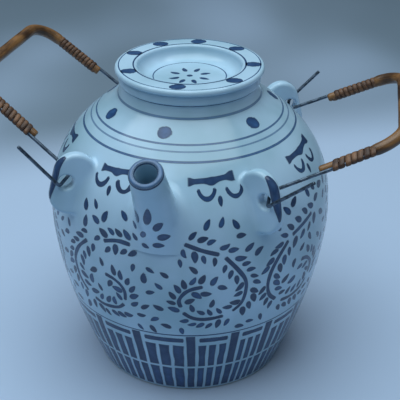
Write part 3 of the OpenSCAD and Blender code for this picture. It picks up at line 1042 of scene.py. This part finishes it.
class TEAPOT_OT_cane(bpy.types.Operator):
    """Split cane wound round each leg and its wire"""
    bl_idname = "teapot.cane"
    bl_label = "Cane bindings"

    def execute(self, context):
        bails = context.scene.teapot_bails
        rng = np.random.default_rng(21)
        for side, place, layout in both_bails(bails):
            for end, pitch, start in zip(ENDS, CANE_PITCHES[side], CANE_STARTS[side]):
                start = bails.binding_start + start * MM
                points, faces, grain, edge = wound_cane(bails, layout, end == "back", start, pitch * MM, rng)
                if (end == "back") != (side == "left"):
                    faces = [tuple(face)[::-1] for face in faces]
                name = f"cane_binding_{side}_{end}"
                add_mesh(name + "_wound", place.world(points), faces, side + "_bail", cane(),
                         values={"grain": grain, "edge": edge}, replaces=(name,))
        return {"FINISHED"}


# ---- Brushwork ----------------------------------------------------------------------------------------

PAINT_T, PAINT_T_CURVED = 0.045 * MM, 0.08 * MM
STROKE_STEP = 1.1 * MM
HAIR = 1e-6                             # half width where a stroke runs out
ACROSS = np.array([-1, -0.84, -0.45, 0, 0.45, 0.84, 1])
ACROSS_CURVED = np.array([-1, -0.93, -0.8, -0.65, -0.5, -0.35, -0.18, 0, 0.18, 0.35, 0.5, 0.65, 0.8, 0.93, 1])
PATTERN_TURN = math.radians(0.6)        # how far round from the spout the painted pattern starts


class Brush:
    """Gathers brush strokes that lie on a glazed surface, and makes one piece of them."""

    def __init__(self, field, seed, across=ACROSS, thickness=PAINT_T):
        self.field, self.across, self.thickness = field, across, thickness
        self.rng = np.random.default_rng(seed)
        self.points, self.faces, self.lift = [], [], []
        self.cover, self.pool, self.wash = [], [], []
        self.count = 0

    def stroke(self, place, spine, widths, wash=0.5, closed=False):
        """A stroke along a spine of flat points, of a half width at each, put on the surface by place."""
        spine, widths = np.asarray(spine, float), np.asarray(widths, float)
        if closed:
            tangent = unit(np.roll(spine, -1, 0) - np.roll(spine, 1, 0))
        else:
            tangent = unit(np.gradient(spine, axis=0))
        self.ribbon(place, spine, np.stack([-tangent[:, 1], tangent[:, 0]], -1), widths, wash, closed)

    def ribbon(self, place, spine, aside, widths, wash, closed):
        """The same, with the direction across it given at each point."""
        across = self.across
        rows, columns = len(spine), len(across)
        flat = spine[:, None, :] + aside[:, None, :] * widths[:, None, None] * across[None, :, None]
        top = place(flat.reshape(-1, 2)).reshape(rows, columns, 3)
        under = top[:, [0, -1]]
        self.points += [top.reshape(-1, 3), under.reshape(-1, 3)]
        self.lift += [np.full(rows * columns, self.thickness), np.full(rows * 2, -self.thickness)]
        cover = np.broadcast_to((np.abs(across) < 0.99) * (1 - max(0, wash - 0.6)), (rows, columns)).copy()
        if not closed:
            cover[[0, -1]] = 0
        pool = np.broadcast_to(1 - np.abs(across) ** 2, (rows, columns)).copy()
        ends = np.minimum(np.arange(rows), np.arange(rows)[::-1]) / max(1, rows / 4)
        if not closed:
            pool *= np.clip(ends, 0, 1)[:, None]
        self.cover += [cover.ravel(), np.zeros(rows * 2)]
        self.pool += [pool.ravel(), np.zeros(rows * 2)]
        self.wash += [np.full(rows * (columns + 2), wash)]
        first, below = self.count, self.count + rows * columns
        row, middle = rows // 2, columns // 2
        ahead, over = top[row + 1, middle] - top[row, middle], top[row, -2] - top[row, 1]
        outward = np.dot(np.cross(ahead, over), gradient(self.field, top[row, [middle]])[0])
        made = len(self.faces)
        self.faces += [face[::-1] for face in grid_faces(rows, columns, first, wrap_rows=closed)]
        self.faces += grid_faces(rows, 2, below, wrap_rows=closed)
        for r in range(rows if closed else rows - 1):
            s = (r + 1) % rows
            left, right = first + r * columns, first + r * columns + columns - 1
            left2, right2 = first + s * columns, first + s * columns + columns - 1
            self.faces.append((left, left2, below + 2 * s, below + 2 * r))
            self.faces.append((right2, right, below + 2 * r + 1, below + 2 * s + 1))
        if not closed:
            start = [first + c for c in range(columns)]
            stop = [first + (rows - 1) * columns + c for c in range(columns)]
            self.faces.append((*start[::-1], below, below + 1)[::-1])
            self.faces.append((*stop, below + 2 * rows - 1, below + 2 * rows - 2)[::-1])
        if outward < 0:
            self.faces[made:] = [tuple(face)[::-1] for face in self.faces[made:]]
        self.count += rows * (columns + 2)

    def leaf(self, place, at, turn, size, width, wash=None):
        """A pointed leaf with its middle at a place, turned by an angle."""
        t = np.linspace(0, 1, 9)
        bow = size * 0.06 * self.rng.normal()
        spine = np.stack([(t - 0.5) * size, bow * np.sin(np.pi * t)], -1)
        self.stroke(place, turned(spine, turn) + at, width * np.sin(np.pi * t ** 0.8) ** 0.85 + HAIR,
                    self.shade() if wash is None else wash)

    def oval(self, place, at, turn, long, short, wash):
        """An oval dab of two half lengths, turned by an angle."""
        t = np.cos(np.linspace(np.pi, 0, 15))
        uneven = 1 + 0.05 * self.rng.normal(size=len(t))
        spine = np.stack([t * long, np.zeros(len(t))], -1)
        self.stroke(place, turned(spine, turn) + at, short * np.sqrt(1 - t ** 2) * uneven + HAIR, wash)

    def dot(self, place, at, radius, wash):
        """A round dab with its middle at a place."""
        self.oval(place, at, self.rng.uniform(0, 3), radius, radius, wash)

    def line(self, place, points, width, wash=None, blunt=0.5, uneven=0.07):
        """A brush line through some points, with rounded ends."""
        spine = resample(smooth(points), STROKE_STEP)
        run = along(spine)
        from_end = np.minimum(run, run[-1] - run) / (width * 2 * blunt + 1e-9)
        rounding = np.sqrt(np.clip(1 - (1 - np.clip(from_end, 0, 1)) ** 2, 0, 1))
        swell = 1 + uneven * np.interp(run, np.linspace(0, run[-1], 7), self.rng.normal(size=7))
        self.stroke(place, spine, width * rounding * swell + HAIR, self.shade() if wash is None else wash)

    def block(self, place, low, high, wash=None):
        """An upright block between two corners, its edges a little uneven."""
        height = high[1] - low[1]
        t = np.concatenate([[0, 0.3 * MM], np.linspace(0.9 * MM, height - 0.9 * MM, 9),
                            [height - 0.3 * MM, height]])
        half = (high[0] - low[0]) / 2
        sway = np.interp(t, np.linspace(0, height, 4), self.rng.normal(0, 0.2 * MM, 4))
        widths = half * np.interp(t, np.linspace(0, height, 5), 1 + self.rng.normal(0, 0.05, 5))
        spine = np.stack([(low[0] + high[0]) / 2 + sway, low[1] + t], -1)
        self.stroke(place, spine, widths, self.shade() if wash is None else wash)

    def ring(self, place, height, width, wash, count=300):
        """A line right round, where place takes a share of a turn and a height."""
        t = np.arange(count) / count
        wave = sum(self.rng.normal(0, 0.4 / k) * np.sin(2 * np.pi * (k * t + self.rng.uniform()))
                   for k in range(2, 9))
        spine = np.stack([t, np.full(count, height)], -1)
        aside = np.broadcast_to([0.0, 1.0], (count, 2))
        self.ribbon(place, spine, aside, width * (1 + 0.16 * wave), wash, True)

    def shade(self):
        """How watery the next stroke is."""
        return float(np.clip(self.rng.normal(0.26, 0.2), 0, 0.6))

    def done(self, name, body="pot"):
        """Puts every stroke on the surface and makes the piece."""
        points = settle(self.field, np.concatenate(self.points), 3)
        normals = unit(gradient(self.field, points))
        points = points + normals * np.concatenate(self.lift)[:, None]
        values = {"cobalt": np.concatenate(self.cover), "pool": np.concatenate(self.pool),
                  "wash": np.concatenate(self.wash)}
        return add_mesh(name, points, self.faces, body, porcelain(), normals=normals,
                        values=values)


def turned(points, turn):
    """Flat points turned anticlockwise."""
    c, s = math.cos(turn), math.sin(turn)
    return np.asarray(points) @ np.array([[c, s], [-s, c]])


def smooth(points, steps=8):
    """A smooth line through some flat points."""
    points = np.asarray(points, float)
    padded = np.vstack([2 * points[0] - points[1], points, 2 * points[-1] - points[-2]])
    made = []
    for a, b, c, d in zip(padded, padded[1:], padded[2:], padded[3:]):
        for t in np.linspace(0, 1, steps, endpoint=False):
            made.append(0.5 * (2 * b + (c - a) * t + (2 * a - 5 * b + 4 * c - d) * t ** 2
                               + (3 * b - a - 3 * c + d) * t ** 3))
    return np.vstack([made, points[-1:]])


class BodyChart:
    """Flat places on the body: x is millimetres round the belly from an azimuth, y is height."""

    def __init__(self, pot, azimuth=0.0, mirrored=False):
        self.pot, self.sign = pot, -1 if mirrored else 1
        self.azimuth = math.radians(azimuth) + PATTERN_TURN

    def __call__(self, flat):
        turn = self.azimuth + self.sign * flat[:, 0] / self.pot.belly_r
        return facing(turn, outer_radius(self.pot, flat[:, 1]), flat[:, 1])


def clay_field():
    """The field of the pot with its spout and ears, for paint to lie on."""
    scene = bpy.context.scene
    pot, spout, ears = scene.teapot_pot, scene.teapot_spout, scene.teapot_ears
    places = ear_places(pot, ears)
    return lambda points: pot_field(pot, spout, ears, places, points)


# Each line's height, half width and wash.
SHOULDER_LINES = ((185.9, 0.45, 0.75), (182.8, 0.4, 0.95), (178.1, 0.6, 0.7))
NECK_LINES = ((197.1, 0.8, 0.95), (204.9, 0.45, 0.4))
FOOT_LINES = ((59.6, 0.5, 0.4),)
SHOULDER_DOT_AZ = (-53, -4.5, 57.6, 109, 160, 211, 262)
SHOULDER_DOT_Z, SHOULDER_DOT_R = 190.6, 5
SHOULDER_SLOPE = 0.55                   # how much a step up the shoulder's slope rises


class TEAPOT_OT_lines(bpy.types.Operator):
    """Lines round the neck and shoulder, and the dots between them"""
    bl_idname = "teapot.lines"
    bl_label = "Lines and dots"

    def execute(self, context):
        pot = context.scene.teapot_pot

        def all_round(flat):
            """A share of a turn and a height."""
            return facing(2 * np.pi * flat[:, 0], outer_radius(pot, flat[:, 1]), flat[:, 1])

        brush = Brush(lambda points: body_field(pot, points), seed=3)
        for height, width, wash in SHOULDER_LINES + NECK_LINES + FOOT_LINES:
            brush.ring(all_round, height * MM, width * MM, wash)
        for azimuth in SHOULDER_DOT_AZ:
            def on_shoulder(flat, azimuth=azimuth):
                """Metres round the shoulder from a dot's middle, and metres up its slope."""
                z = SHOULDER_DOT_Z * MM + flat[:, 1] * SHOULDER_SLOPE
                radius = outer_radius(pot, z)
                return facing(math.radians(azimuth) + PATTERN_TURN + flat[:, 0] / radius, radius, z)
            brush.dot(on_shoulder, (0, 0), SHOULDER_DOT_R * MM, wash=0.6)
        brush.done("paint_lines_and_dots")
        return {"FINISHED"}


# Each bar's azimuth, and how far it runs to the left and right of it.
BARS = ((-23.7, -14.2, 16.5), (25.1, -24.4, 12.4), (75.8, -22, 22.5), (122, -20, 20), (180, -24, 24),
        (238, -20, 20), (284, -22, 22))
BAR_Z = 170.3
HOOK = ((-6.4, 165.6), (-4.6, 162.2), (-1.4, 160.0), (2.2, 160.1), (5.2, 162.6), (6.4, 165.8))
HOOK_MIDDLES = (-10.4, 10.2)


def bar_motif(brush, place, left, right):
    """A bar with a scalloped lower edge, a pair of open hooks and a drop under it."""
    t = np.linspace(0, 1, 33)
    widths = (1.5 + 0.9 * np.exp(-((t - 0.5) / 0.1) ** 2) + 1.3 * ease((t - 0.78) / 0.14)
              + 0.9 * ease((0.16 - t) / 0.12)) * MM
    sag = (0.8 * np.exp(-((t - 0.5) / 0.12) ** 2) + 1.6 - 1.8 * t) * MM
    spine = np.stack([left + t * (right - left), BAR_Z * MM - sag], -1)
    brush.stroke(place, spine, widths, 0.25)
    for middle in HOOK_MIDDLES:
        brush.line(place, [((x + middle) * MM, z * MM) for x, z in HOOK], SCROLL_W, uneven=0.16)
    brush.leaf(place, (-0.8 * MM, 158.1 * MM), math.radians(-88), 6.8 * MM, 1.9 * MM)


class TEAPOT_OT_bars(bpy.types.Operator):
    """Bars with hooks and drops under the shoulder lines"""
    bl_idname = "teapot.bars"
    bl_label = "Bars and hooks"

    def execute(self, context):
        brush = Brush(clay_field(), seed=5)
        for azimuth, left, right in BARS:
            bar_motif(brush, BodyChart(context.scene.teapot_pot, azimuth), left * MM, right * MM)
        brush.done("paint_bars_and_hooks")
        return {"FINISHED"}


SCROLL_W = 1.5 * MM                      # half width of the scrolls and hooks
SCROLL_AZ = (-27, 20, 58, 108, 153, 198, 243, 288)
SCROLL_STROKES = (
    ((-18, 133.2), (-7, 129.4), (5, 125.2)),
    ((8, 123.2), (17, 113.6), (22.6, 103.5), (23.4, 94.5), (20.6, 85.4), (14.2, 78.4)),
    ((9, 76), (0.5, 74.2), (-6.5, 74.8), (-13.4, 77), (-18.6, 81.6)),
    ((-20, 84.8), (-20.6, 91.8), (-17.6, 97.3), (-12.6, 100.4), (-5.6, 102.4)))
LOW_START = ((-27, 128.8), (-17, 129.4), (-6.4, 127))     # the first stroke where the spout is in its way
LEAF_SIZE = 8.4
LEAF_TOP, LEAF_BOTTOM = 149.0, 63.5
LEAF_STEP = 7.4 * MM                    # between leaves along a scroll
LEAF_TRIES = 5200                       # places tried between the scrolls


def scroll_unit(brush, place, rng, low):
    """One spiral of four strokes. Returns its lines."""
    lines = []
    for stroke in (LOW_START if low else SCROLL_STROKES[0], *SCROLL_STROKES[1:]):
        points = np.array(stroke) * MM + rng.normal(0, 0.35 * MM, (len(stroke), 2))
        brush.line(place, points, SCROLL_W, uneven=0.1)
        lines.append(smooth(points))
    return lines


def unwrapped(points):
    """Places on the body as metres round the belly and height."""
    turn = np.arctan2(points[:, 0], -points[:, 1])
    return np.stack([turn * bpy.context.scene.teapot_pot.belly_r, points[:, 2]], -1)


def clear_of(spot, others, gap, around):
    """True if a place keeps a gap to others, counted round the pot."""
    if not len(others):
        return True
    off = np.abs(others - spot)
    off[:, 0] = np.minimum(off[:, 0], around - off[:, 0])
    return bool((np.hypot(off[:, 0], off[:, 1]) > gap).all())


class TEAPOT_OT_scrolls(bpy.types.Operator):
    """Scrolls with leaves scattered along and between them"""
    bl_idname = "teapot.scrolls"
    bl_label = "Scrolls and leaves"

    def execute(self, context):
        pot, spout, ears = (getattr(context.scene, "teapot_" + key) for key in ("pot", "spout", "ears"))
        brush = Brush(clay_field(), seed=11)
        rng = np.random.default_rng(12)
        around = 2 * np.pi * pot.belly_r
        lines = []
        for i, azimuth in enumerate(SCROLL_AZ):
            place = BodyChart(pot, azimuth, mirrored=i % 2 == 0)
            lines += [unwrapped(place(line)) for line in scroll_unit(brush, place, rng, i == 0)]
        on_lines = np.vstack(lines)
        leaves = []
        sheet = BodyChart(pot)

        def room(spot, gap, line_gap):
            """True if a leaf can go there."""
            at = sheet(np.array([spot]))
            raised = [spout_fields(spout, at)[0][0]]
            raised += [ear_fields(ears, ear, at)[0][0] for ear in ear_places(pot, ears).values()]
            return (LEAF_BOTTOM * MM < spot[1] < LEAF_TOP * MM and min(raised) > 6.5 * MM
                    and clear_of(spot, on_lines, line_gap, around)
                    and clear_of(spot, np.array(leaves), gap, around))

        def put(spot, turn):
            """Paints a leaf and keeps its place."""
            leaves.append(spot)
            size = LEAF_SIZE * rng.uniform(0.82, 1.14) * MM
            brush.leaf(sheet, spot, turn, size, size * rng.uniform(0.23, 0.28))

        for line in lines:
            ways = unit(np.gradient(line, axis=0))
            spread = resample(np.hstack([line, ways]), LEAF_STEP)
            for x, z, dx, dz in spread:
                for sign in (-1, 1):
                    aside = np.array([-dz, dx]) * sign
                    spot = np.array([x, z]) + aside * rng.uniform(5.6, 6.6) * MM
                    turn = math.atan2(dz, dx) + sign * math.radians(rng.normal(48, 12))
                    if room(spot, 6.0 * MM, 4.8 * MM):
                        put(spot, turn)
        for _ in range(LEAF_TRIES):
            spot = np.array([rng.uniform(-around / 2, around / 2),
                             rng.uniform(LEAF_BOTTOM, LEAF_TOP) * MM])
            if room(spot, 7.6 * MM, 5.6 * MM):
                near = on_lines[np.argmin(((on_lines - spot) ** 2).sum(1))]
                put(spot, math.atan2(*(spot - near)[::-1]) + rng.normal(0, 0.6))
        brush.done("paint_scrolls_and_leaves")
        return {"FINISHED"}


FOOT_BAR_AZ = (-34, -12.8, 12, 31.8, 49.3, 70, 91, 112, 133.5, 155, 176, 197, 218.5, 240, 261, 282, 304)
PANEL_TOP, PANEL_BAR, PANEL_LOW, PANEL_GAP, PANEL_END = 58.6, 54.6, 49.4, 26.2, 2.6     # heights
POST_W, PANEL_SPACE = 7.2 * MM, 2.0 * MM


class TEAPOT_OT_panels(bpy.types.Operator):
    """Barred panels round the foot"""
    bl_idname = "teapot.panels"
    bl_label = "Foot panels"

    def execute(self, context):
        pot = context.scene.teapot_pot
        brush = Brush(lambda points: body_field(pot, points), seed=17)
        half, gap = POST_W / 2, PANEL_SPACE
        low, mid, high = PANEL_END * MM, PANEL_GAP * MM, PANEL_TOP * MM
        for azimuth, following in zip(FOOT_BAR_AZ, FOOT_BAR_AZ[1:] + (FOOT_BAR_AZ[0] + 360,)):
            place = BodyChart(pot, azimuth)
            pitch = math.radians(following - azimuth) * pot.belly_r
            brush.block(place, (-half, mid + 0.8 * MM), (half, high), 0.15)
            brush.block(place, (-half, low), (half, mid - 0.8 * MM), 0.35)
            across = [(half + gap, PANEL_BAR * MM), (pitch - half - gap * 0.6, PANEL_BAR * MM)]
            brush.line(place, across, 2.1 * MM, 0.25, blunt=0.2, uneven=0.05)
            wide = (pitch - POST_W - 4 * gap) / 3
            for k in range(3):
                left = half + gap + k * (wide + gap)
                brush.block(place, (left, mid + 0.9 * MM), (left + wide, PANEL_LOW * MM), 0.3)
                brush.block(place, (left - 0.2 * MM, low), (left + wide, mid - 0.9 * MM), 0.55)
        brush.done("paint_foot_panels")
        return {"FINISHED"}


LID_DOT_AZ = (2, 55, 99, 143, 184, 221, 255, 302)
LID_DOT_AT, LID_DOT_LONG, LID_DOT_SHORT = 42 * MM, 5.4 * MM, 4.7 * MM
RIM_RINGS = ((46.9, 0.4, 0.5), (37.2, 0.6, 0.3))        # radius, half width and wash
DISH_RING = (24.3, 0.4, 0.45)
PETALS, PETAL_AT = 8, 11 * MM


class TEAPOT_OT_lid_paint(bpy.types.Operator):
    """Lines, dots and a small flower on the lid"""
    bl_idname = "teapot.lid_paint"
    bl_label = "Lid ornament"

    def execute(self, context):
        lid = context.scene.teapot_lid
        floor_z = lid.top_z - lid.depth

        def level_chart(height):
            return lambda flat: np.stack([flat[:, 0], flat[:, 1], np.full(len(flat), height)], -1)

        def level_ring(brush, height, radius, width, wash):
            turn = np.arange(240) * 2 * np.pi / 240
            spine = radius * MM * np.stack([np.cos(turn), np.sin(turn)], -1)
            uneven = 1 + 0.15 * np.sin(3 * turn + radius) + 0.1 * np.sin(7 * turn)
            brush.stroke(level_chart(height), spine, width * MM * uneven, wash, closed=True)

        rim = Brush(lambda points: points[:, 2] - lid.top_z, seed=23)
        for ring in RIM_RINGS:
            level_ring(rim, lid.top_z, *ring)
        for azimuth in LID_DOT_AZ:
            at = facing(math.radians(azimuth), LID_DOT_AT)[:2]
            turn = math.radians(12 + 4 * math.sin(azimuth))
            rim.oval(level_chart(lid.top_z), at, turn, LID_DOT_LONG, LID_DOT_SHORT, 0.4)
        rim.done("paint_lid_rim", "lid")
        dish = Brush(lambda points: points[:, 2] - floor_z, seed=29)
        level_ring(dish, floor_z, *DISH_RING)
        flat = level_chart(floor_z)
        dish.dot(flat, (0, 0), 2 * MM, 0.2)
        for i in range(PETALS):
            azimuth = math.radians(29.5 + 360 / PETALS * i)
            at = facing(azimuth, PETAL_AT)[:2]
            dish.leaf(flat, at, azimuth - math.pi / 2, 7.8 * MM, 1.8 * MM, 0.25)
        dish.done("paint_lid_flower", "lid")
        return {"FINISHED"}


MOUTH_RINGS = ((0.4, 1.6, 0.75), (2.7, 0.65, 0.1), (-1.8, 0.5, 0.2))    # place over the lip, half width, wash
FLOWER_HEART = (-7, -102, 142.4)
FLOWER_TURN, FLOWER_TILT = math.radians(12.6), math.radians(28)
# Each petal's place from the heart, its length, half width and turn.
FLOWER_PETALS = ((3.1, 11.1, 11.2, 2.7, 83), (-3.5, 11.1, 9.0, 1.1, 101), (9.6, 4.9, 8.4, 2.3, 36),
                 (12.8, -1.5, 9.4, 2.2, 8), (9.4, -6.9, 8.6, 1.7, -3), (1.2, -7.2, 6, 1.3, -33),
                 (-5.3, -1.5, 6.2, 1.2, 122), (-5.5, 5.9, 6.2, 0.9, 111))


class TEAPOT_OT_spout_paint(bpy.types.Operator):
    """Blue mouth and a flower on the spout"""
    bl_idname = "teapot.spout_paint"
    bl_label = "Spout ornament"

    def execute(self, context):
        spout = context.scene.teapot_spout
        mouth, axis = spout_place(spout)
        side = np.array([1, 0, 0])
        up = np.cross(side, axis)
        lip_r = (spout.mouth_r - spout.bore_r) / 2
        middle_r = spout.bore_r + lip_r

        def on_lip(flat):
            """A share of a turn, and metres outwards over the lip from its top."""
            turn, over = 2 * np.pi * flat[:, 0], flat[:, 1] / lip_r
            radial = np.cos(turn)[:, None] * side + np.sin(turn)[:, None] * up
            out = middle_r + lip_r * np.sin(over)
            return mouth + radial * out[:, None] + axis * (lip_r * (np.cos(over) - 1))[:, None]

        field = clay_field()
        heart = np.array(FLOWER_HEART) * MM
        way = -facing(FLOWER_TURN, math.cos(FLOWER_TILT), math.sin(FLOWER_TILT))
        across = facing(FLOWER_TURN + math.pi / 2)
        over = np.cross(across, way)

        def on_root(flat):
            """Flat places seen from in front, cast on to the root of the spout."""
            start = heart - way * 30 * MM + flat[:, :1] * across + flat[:, 1:] * over
            return cast(field, start, way)

        brush = Brush(field, seed=31, across=ACROSS_CURVED, thickness=PAINT_T_CURVED)
        for over_lip, width, wash in MOUTH_RINGS:
            brush.ring(on_lip, over_lip * MM, width * MM, wash, 90)
        brush.dot(on_root, (0, 0), 2 * MM, 0.5)
        for x, z, size, half, turn in FLOWER_PETALS:
            brush.leaf(on_root, (x * MM, z * MM), math.radians(turn), size * MM, half * MM, 0.35)
        brush.done("paint_spout")
        return {"FINISHED"}


class TEAPOT_OT_ear_paint(bpy.types.Operator):
    """A broad leaf down the outer edge of each ear"""
    bl_idname = "teapot.ear_paint"
    bl_label = "Ear ornament"

    def execute(self, context):
        pot, ears = context.scene.teapot_pot, context.scene.teapot_ears
        field = clay_field()
        brush = Brush(field, seed=37, across=ACROSS_CURVED, thickness=PAINT_T_CURVED)
        for (end, _), place in ear_places(pot, ears).items():
            outwards, through, up = place.axes.T
            rise = math.cos(ears.tilt) * up - math.sin(ears.tilt) * outwards
            reach = math.cos(ears.tilt) * outwards + math.sin(ears.tilt) * up
            lean = np.sign(through[1]) * (-1 if end == "front" else 1)

            def on_edge(flat, place=place, through=through, rise=rise, reach=reach):
                """Metres round the edge from its middle, and metres along the outline from the hole's level."""
                straight = np.clip(flat[:, 1], ears.crown - ears.straight, ears.crown)
                turn = (flat[:, 1] - straight) / ears.outline_r
                past = np.clip(np.abs(flat[:, 0]) - ears.thickness / 2, 0, None)
                x = ears.lip - ears.outline_r + (ears.outline_r - past) * np.cos(turn)
                z = straight + (ears.outline_r - past) * np.sin(turn)
                y = np.clip(flat[:, 0], -ears.thickness / 2, ears.thickness / 2)
                return place.hole + x[:, None] * reach + y[:, None] * through + z[:, None] * rise

            t = np.linspace(0, 1, 33)
            spine = np.stack([np.full(33, lean * 2.6 * MM), (19 - 33 * t) * MM], -1)
            brush.stroke(on_edge, spine, 4.4 * MM * np.sin(np.pi * t ** 0.8) ** 0.6 + HAIR, 0.35)
        brush.done("paint_ears")
        return {"FINISHED"}


# ---- Stage --------------------------------------------------------------------------------------------

FLOOR_HALF, BACKDROP_Y, BACKDROP_TOP, BACKDROP_BEND = 6.0, 3.2, 4.0, 1.0
FLOOR_TURN = math.radians(12)
WORLD_COLOUR, WORLD_STRENGTH = (0.6, 0.75, 0.84, 1), 0.07
# Each lamp's name, power, width, place, target and tint.
LAMPS = (("sky", 23, 1.6, (-0.1, -0.08, 1.35), (0, 0, 0.12), (0.82, 0.94, 1)),
         ("front_fill", 0.25, 1.2, (-0.5, -0.9, 1.1), (0, 0, 0.1), (0.8, 0.92, 1)))
CAMERA_AZ, CAMERA_DISTANCE, CAMERA_Z = math.radians(12.6), 0.6822, 0.4762
TARGET_ASIDE, TARGET_Z = 0.0068, 0.1141
LENS, SENSOR, CLIP = 99, 36, (0.01, 20)


def add_lamp(name, energy, size, location, target, tint):
    """A square soft lamp that points at a target."""
    light = bpy.data.lights.new(name, "AREA")
    light.energy, light.size, light.color = energy, size, tint
    lamp = bpy.data.objects.new(name, light)
    bpy.context.scene.collection.objects.link(lamp)
    lamp.location = location
    aim(lamp, target)


def aim(thing, target):
    """Turns a lamp or camera to look at a point."""
    way = Vector(target) - Vector(thing.location)
    thing.rotation_euler = way.to_track_quat("-Z", "Y").to_euler()


class TEAPOT_OT_stage(bpy.types.Operator):
    """Floor, backdrop, soft light and camera"""
    bl_idname = "teapot.stage"
    bl_label = "Stage"

    def execute(self, context):
        f = Finish("stage_floor")
        place = f.node("TexCoord", output="Object")
        far = f.node("SeparateXYZ", None, {0: place}, output="Y")
        aside = f.node("SeparateXYZ", None, {0: place}, output="X")
        crease = f.noise(f.stretched(place, (1.4, 0.9, 1)), 2.2, 1.5, 0.5)
        # Behind the pot the cloth turns to painted shade, darker than the lit floor near it.
        behind = f.fade(far - 0.25 * aside + 0.15 * crease, 0.36, 0.5)
        # Folds in the backdrop get a painted highlight.
        folds = f.mix(f.fade(crease, 0.4, 0.66), hues().backdrop_shade, hues().fold_highlight)
        shade = f.mix(behind, hues().floor, folds)
        f.surface(base_color=shade, roughness=0.85)
        mesh = bpy.data.meshes.new("floor")
        bend = [(BACKDROP_Y - BACKDROP_BEND * (1 - math.sin(a)), BACKDROP_BEND * (1 - math.cos(a)))
                for a in np.linspace(0, math.pi / 2, 12)]
        curve = [(-FLOOR_HALF, 0), *bend, (BACKDROP_Y, BACKDROP_TOP)]
        points = [(x, y, z) for x in (-FLOOR_HALF, FLOOR_HALF) for y, z in curve]
        mesh.from_pydata(points, [], grid_faces(2, len(curve)))
        mesh.polygons.foreach_set("use_smooth", [True] * len(mesh.polygons))
        mesh.materials.append(f.material)
        floor = bpy.data.objects.new("floor", mesh)
        context.scene.collection.objects.link(floor)
        floor.rotation_euler[2] = FLOOR_TURN
        world = bpy.data.worlds.new("studio")
        world.use_nodes = True
        sky = world.node_tree.nodes["Background"].inputs
        sky["Color"].default_value, sky["Strength"].default_value = WORLD_COLOUR, WORLD_STRENGTH
        context.scene.world = world
        for lamp in LAMPS:
            add_lamp(*lamp)
        lens = bpy.data.cameras.new("camera")
        lens.lens, lens.sensor_width = LENS, SENSOR
        lens.clip_start, lens.clip_end = CLIP
        camera = bpy.data.objects.new("camera", lens)
        context.scene.collection.objects.link(camera)
        camera.location = facing(CAMERA_AZ, CAMERA_DISTANCE, CAMERA_Z)
        aim(camera, TARGET_ASIDE * np.array([math.cos(CAMERA_AZ), math.sin(CAMERA_AZ), 0]) + [0, 0, TARGET_Z])
        context.scene.camera = camera
        context.scene.view_settings.view_transform = "Standard"
        return {"FINISHED"}


class TEAPOT_PT_panel(bpy.types.Panel):
    """Lists the pieces of the teapot"""
    bl_idname = "TEAPOT_PT_panel"
    bl_label = "Teapot"
    bl_space_type = "VIEW_3D"
    bl_region_type = "UI"
    bl_category = "Teapot"

    def draw(self, context):
        for step in STEPS:
            self.layout.operator(step.bl_idname)


GROUPS = {"pot": PotSizes, "lid": LidSizes, "spout": SpoutSizes, "ears": EarSizes, "bails": BailSizes,
          "colours": Colours}
STEPS = (TEAPOT_OT_stage, TEAPOT_OT_body, TEAPOT_OT_lid, TEAPOT_OT_spout, TEAPOT_OT_ears, TEAPOT_OT_wires,
         TEAPOT_OT_grips, TEAPOT_OT_cane, TEAPOT_OT_lines, TEAPOT_OT_bars, TEAPOT_OT_scrolls, TEAPOT_OT_panels,
         TEAPOT_OT_lid_paint, TEAPOT_OT_spout_paint, TEAPOT_OT_ear_paint)


def register():
    """Registers every class and gives the scene its sizes and colours."""
    for made in (*GROUPS.values(), *STEPS, TEAPOT_PT_panel):
        bpy.utils.register_class(made)
    for key, group in GROUPS.items():
        setattr(bpy.types.Scene, "teapot_" + key, bpy.props.PointerProperty(type=group))


def unregister():
    """Takes the classes and the scene's sizes and colours away."""
    for key in GROUPS:
        delattr(bpy.types.Scene, "teapot_" + key)
    for made in (TEAPOT_PT_panel, *reversed(STEPS), *reversed(GROUPS.values())):
        bpy.utils.unregister_class(made)


def main():
    """Builds every piece in order."""
    register()
    for step in STEPS:
        module, name = step.bl_idname.split(".")
        getattr(getattr(bpy.ops, module), name)()


if __name__ == "__main__":
    main()
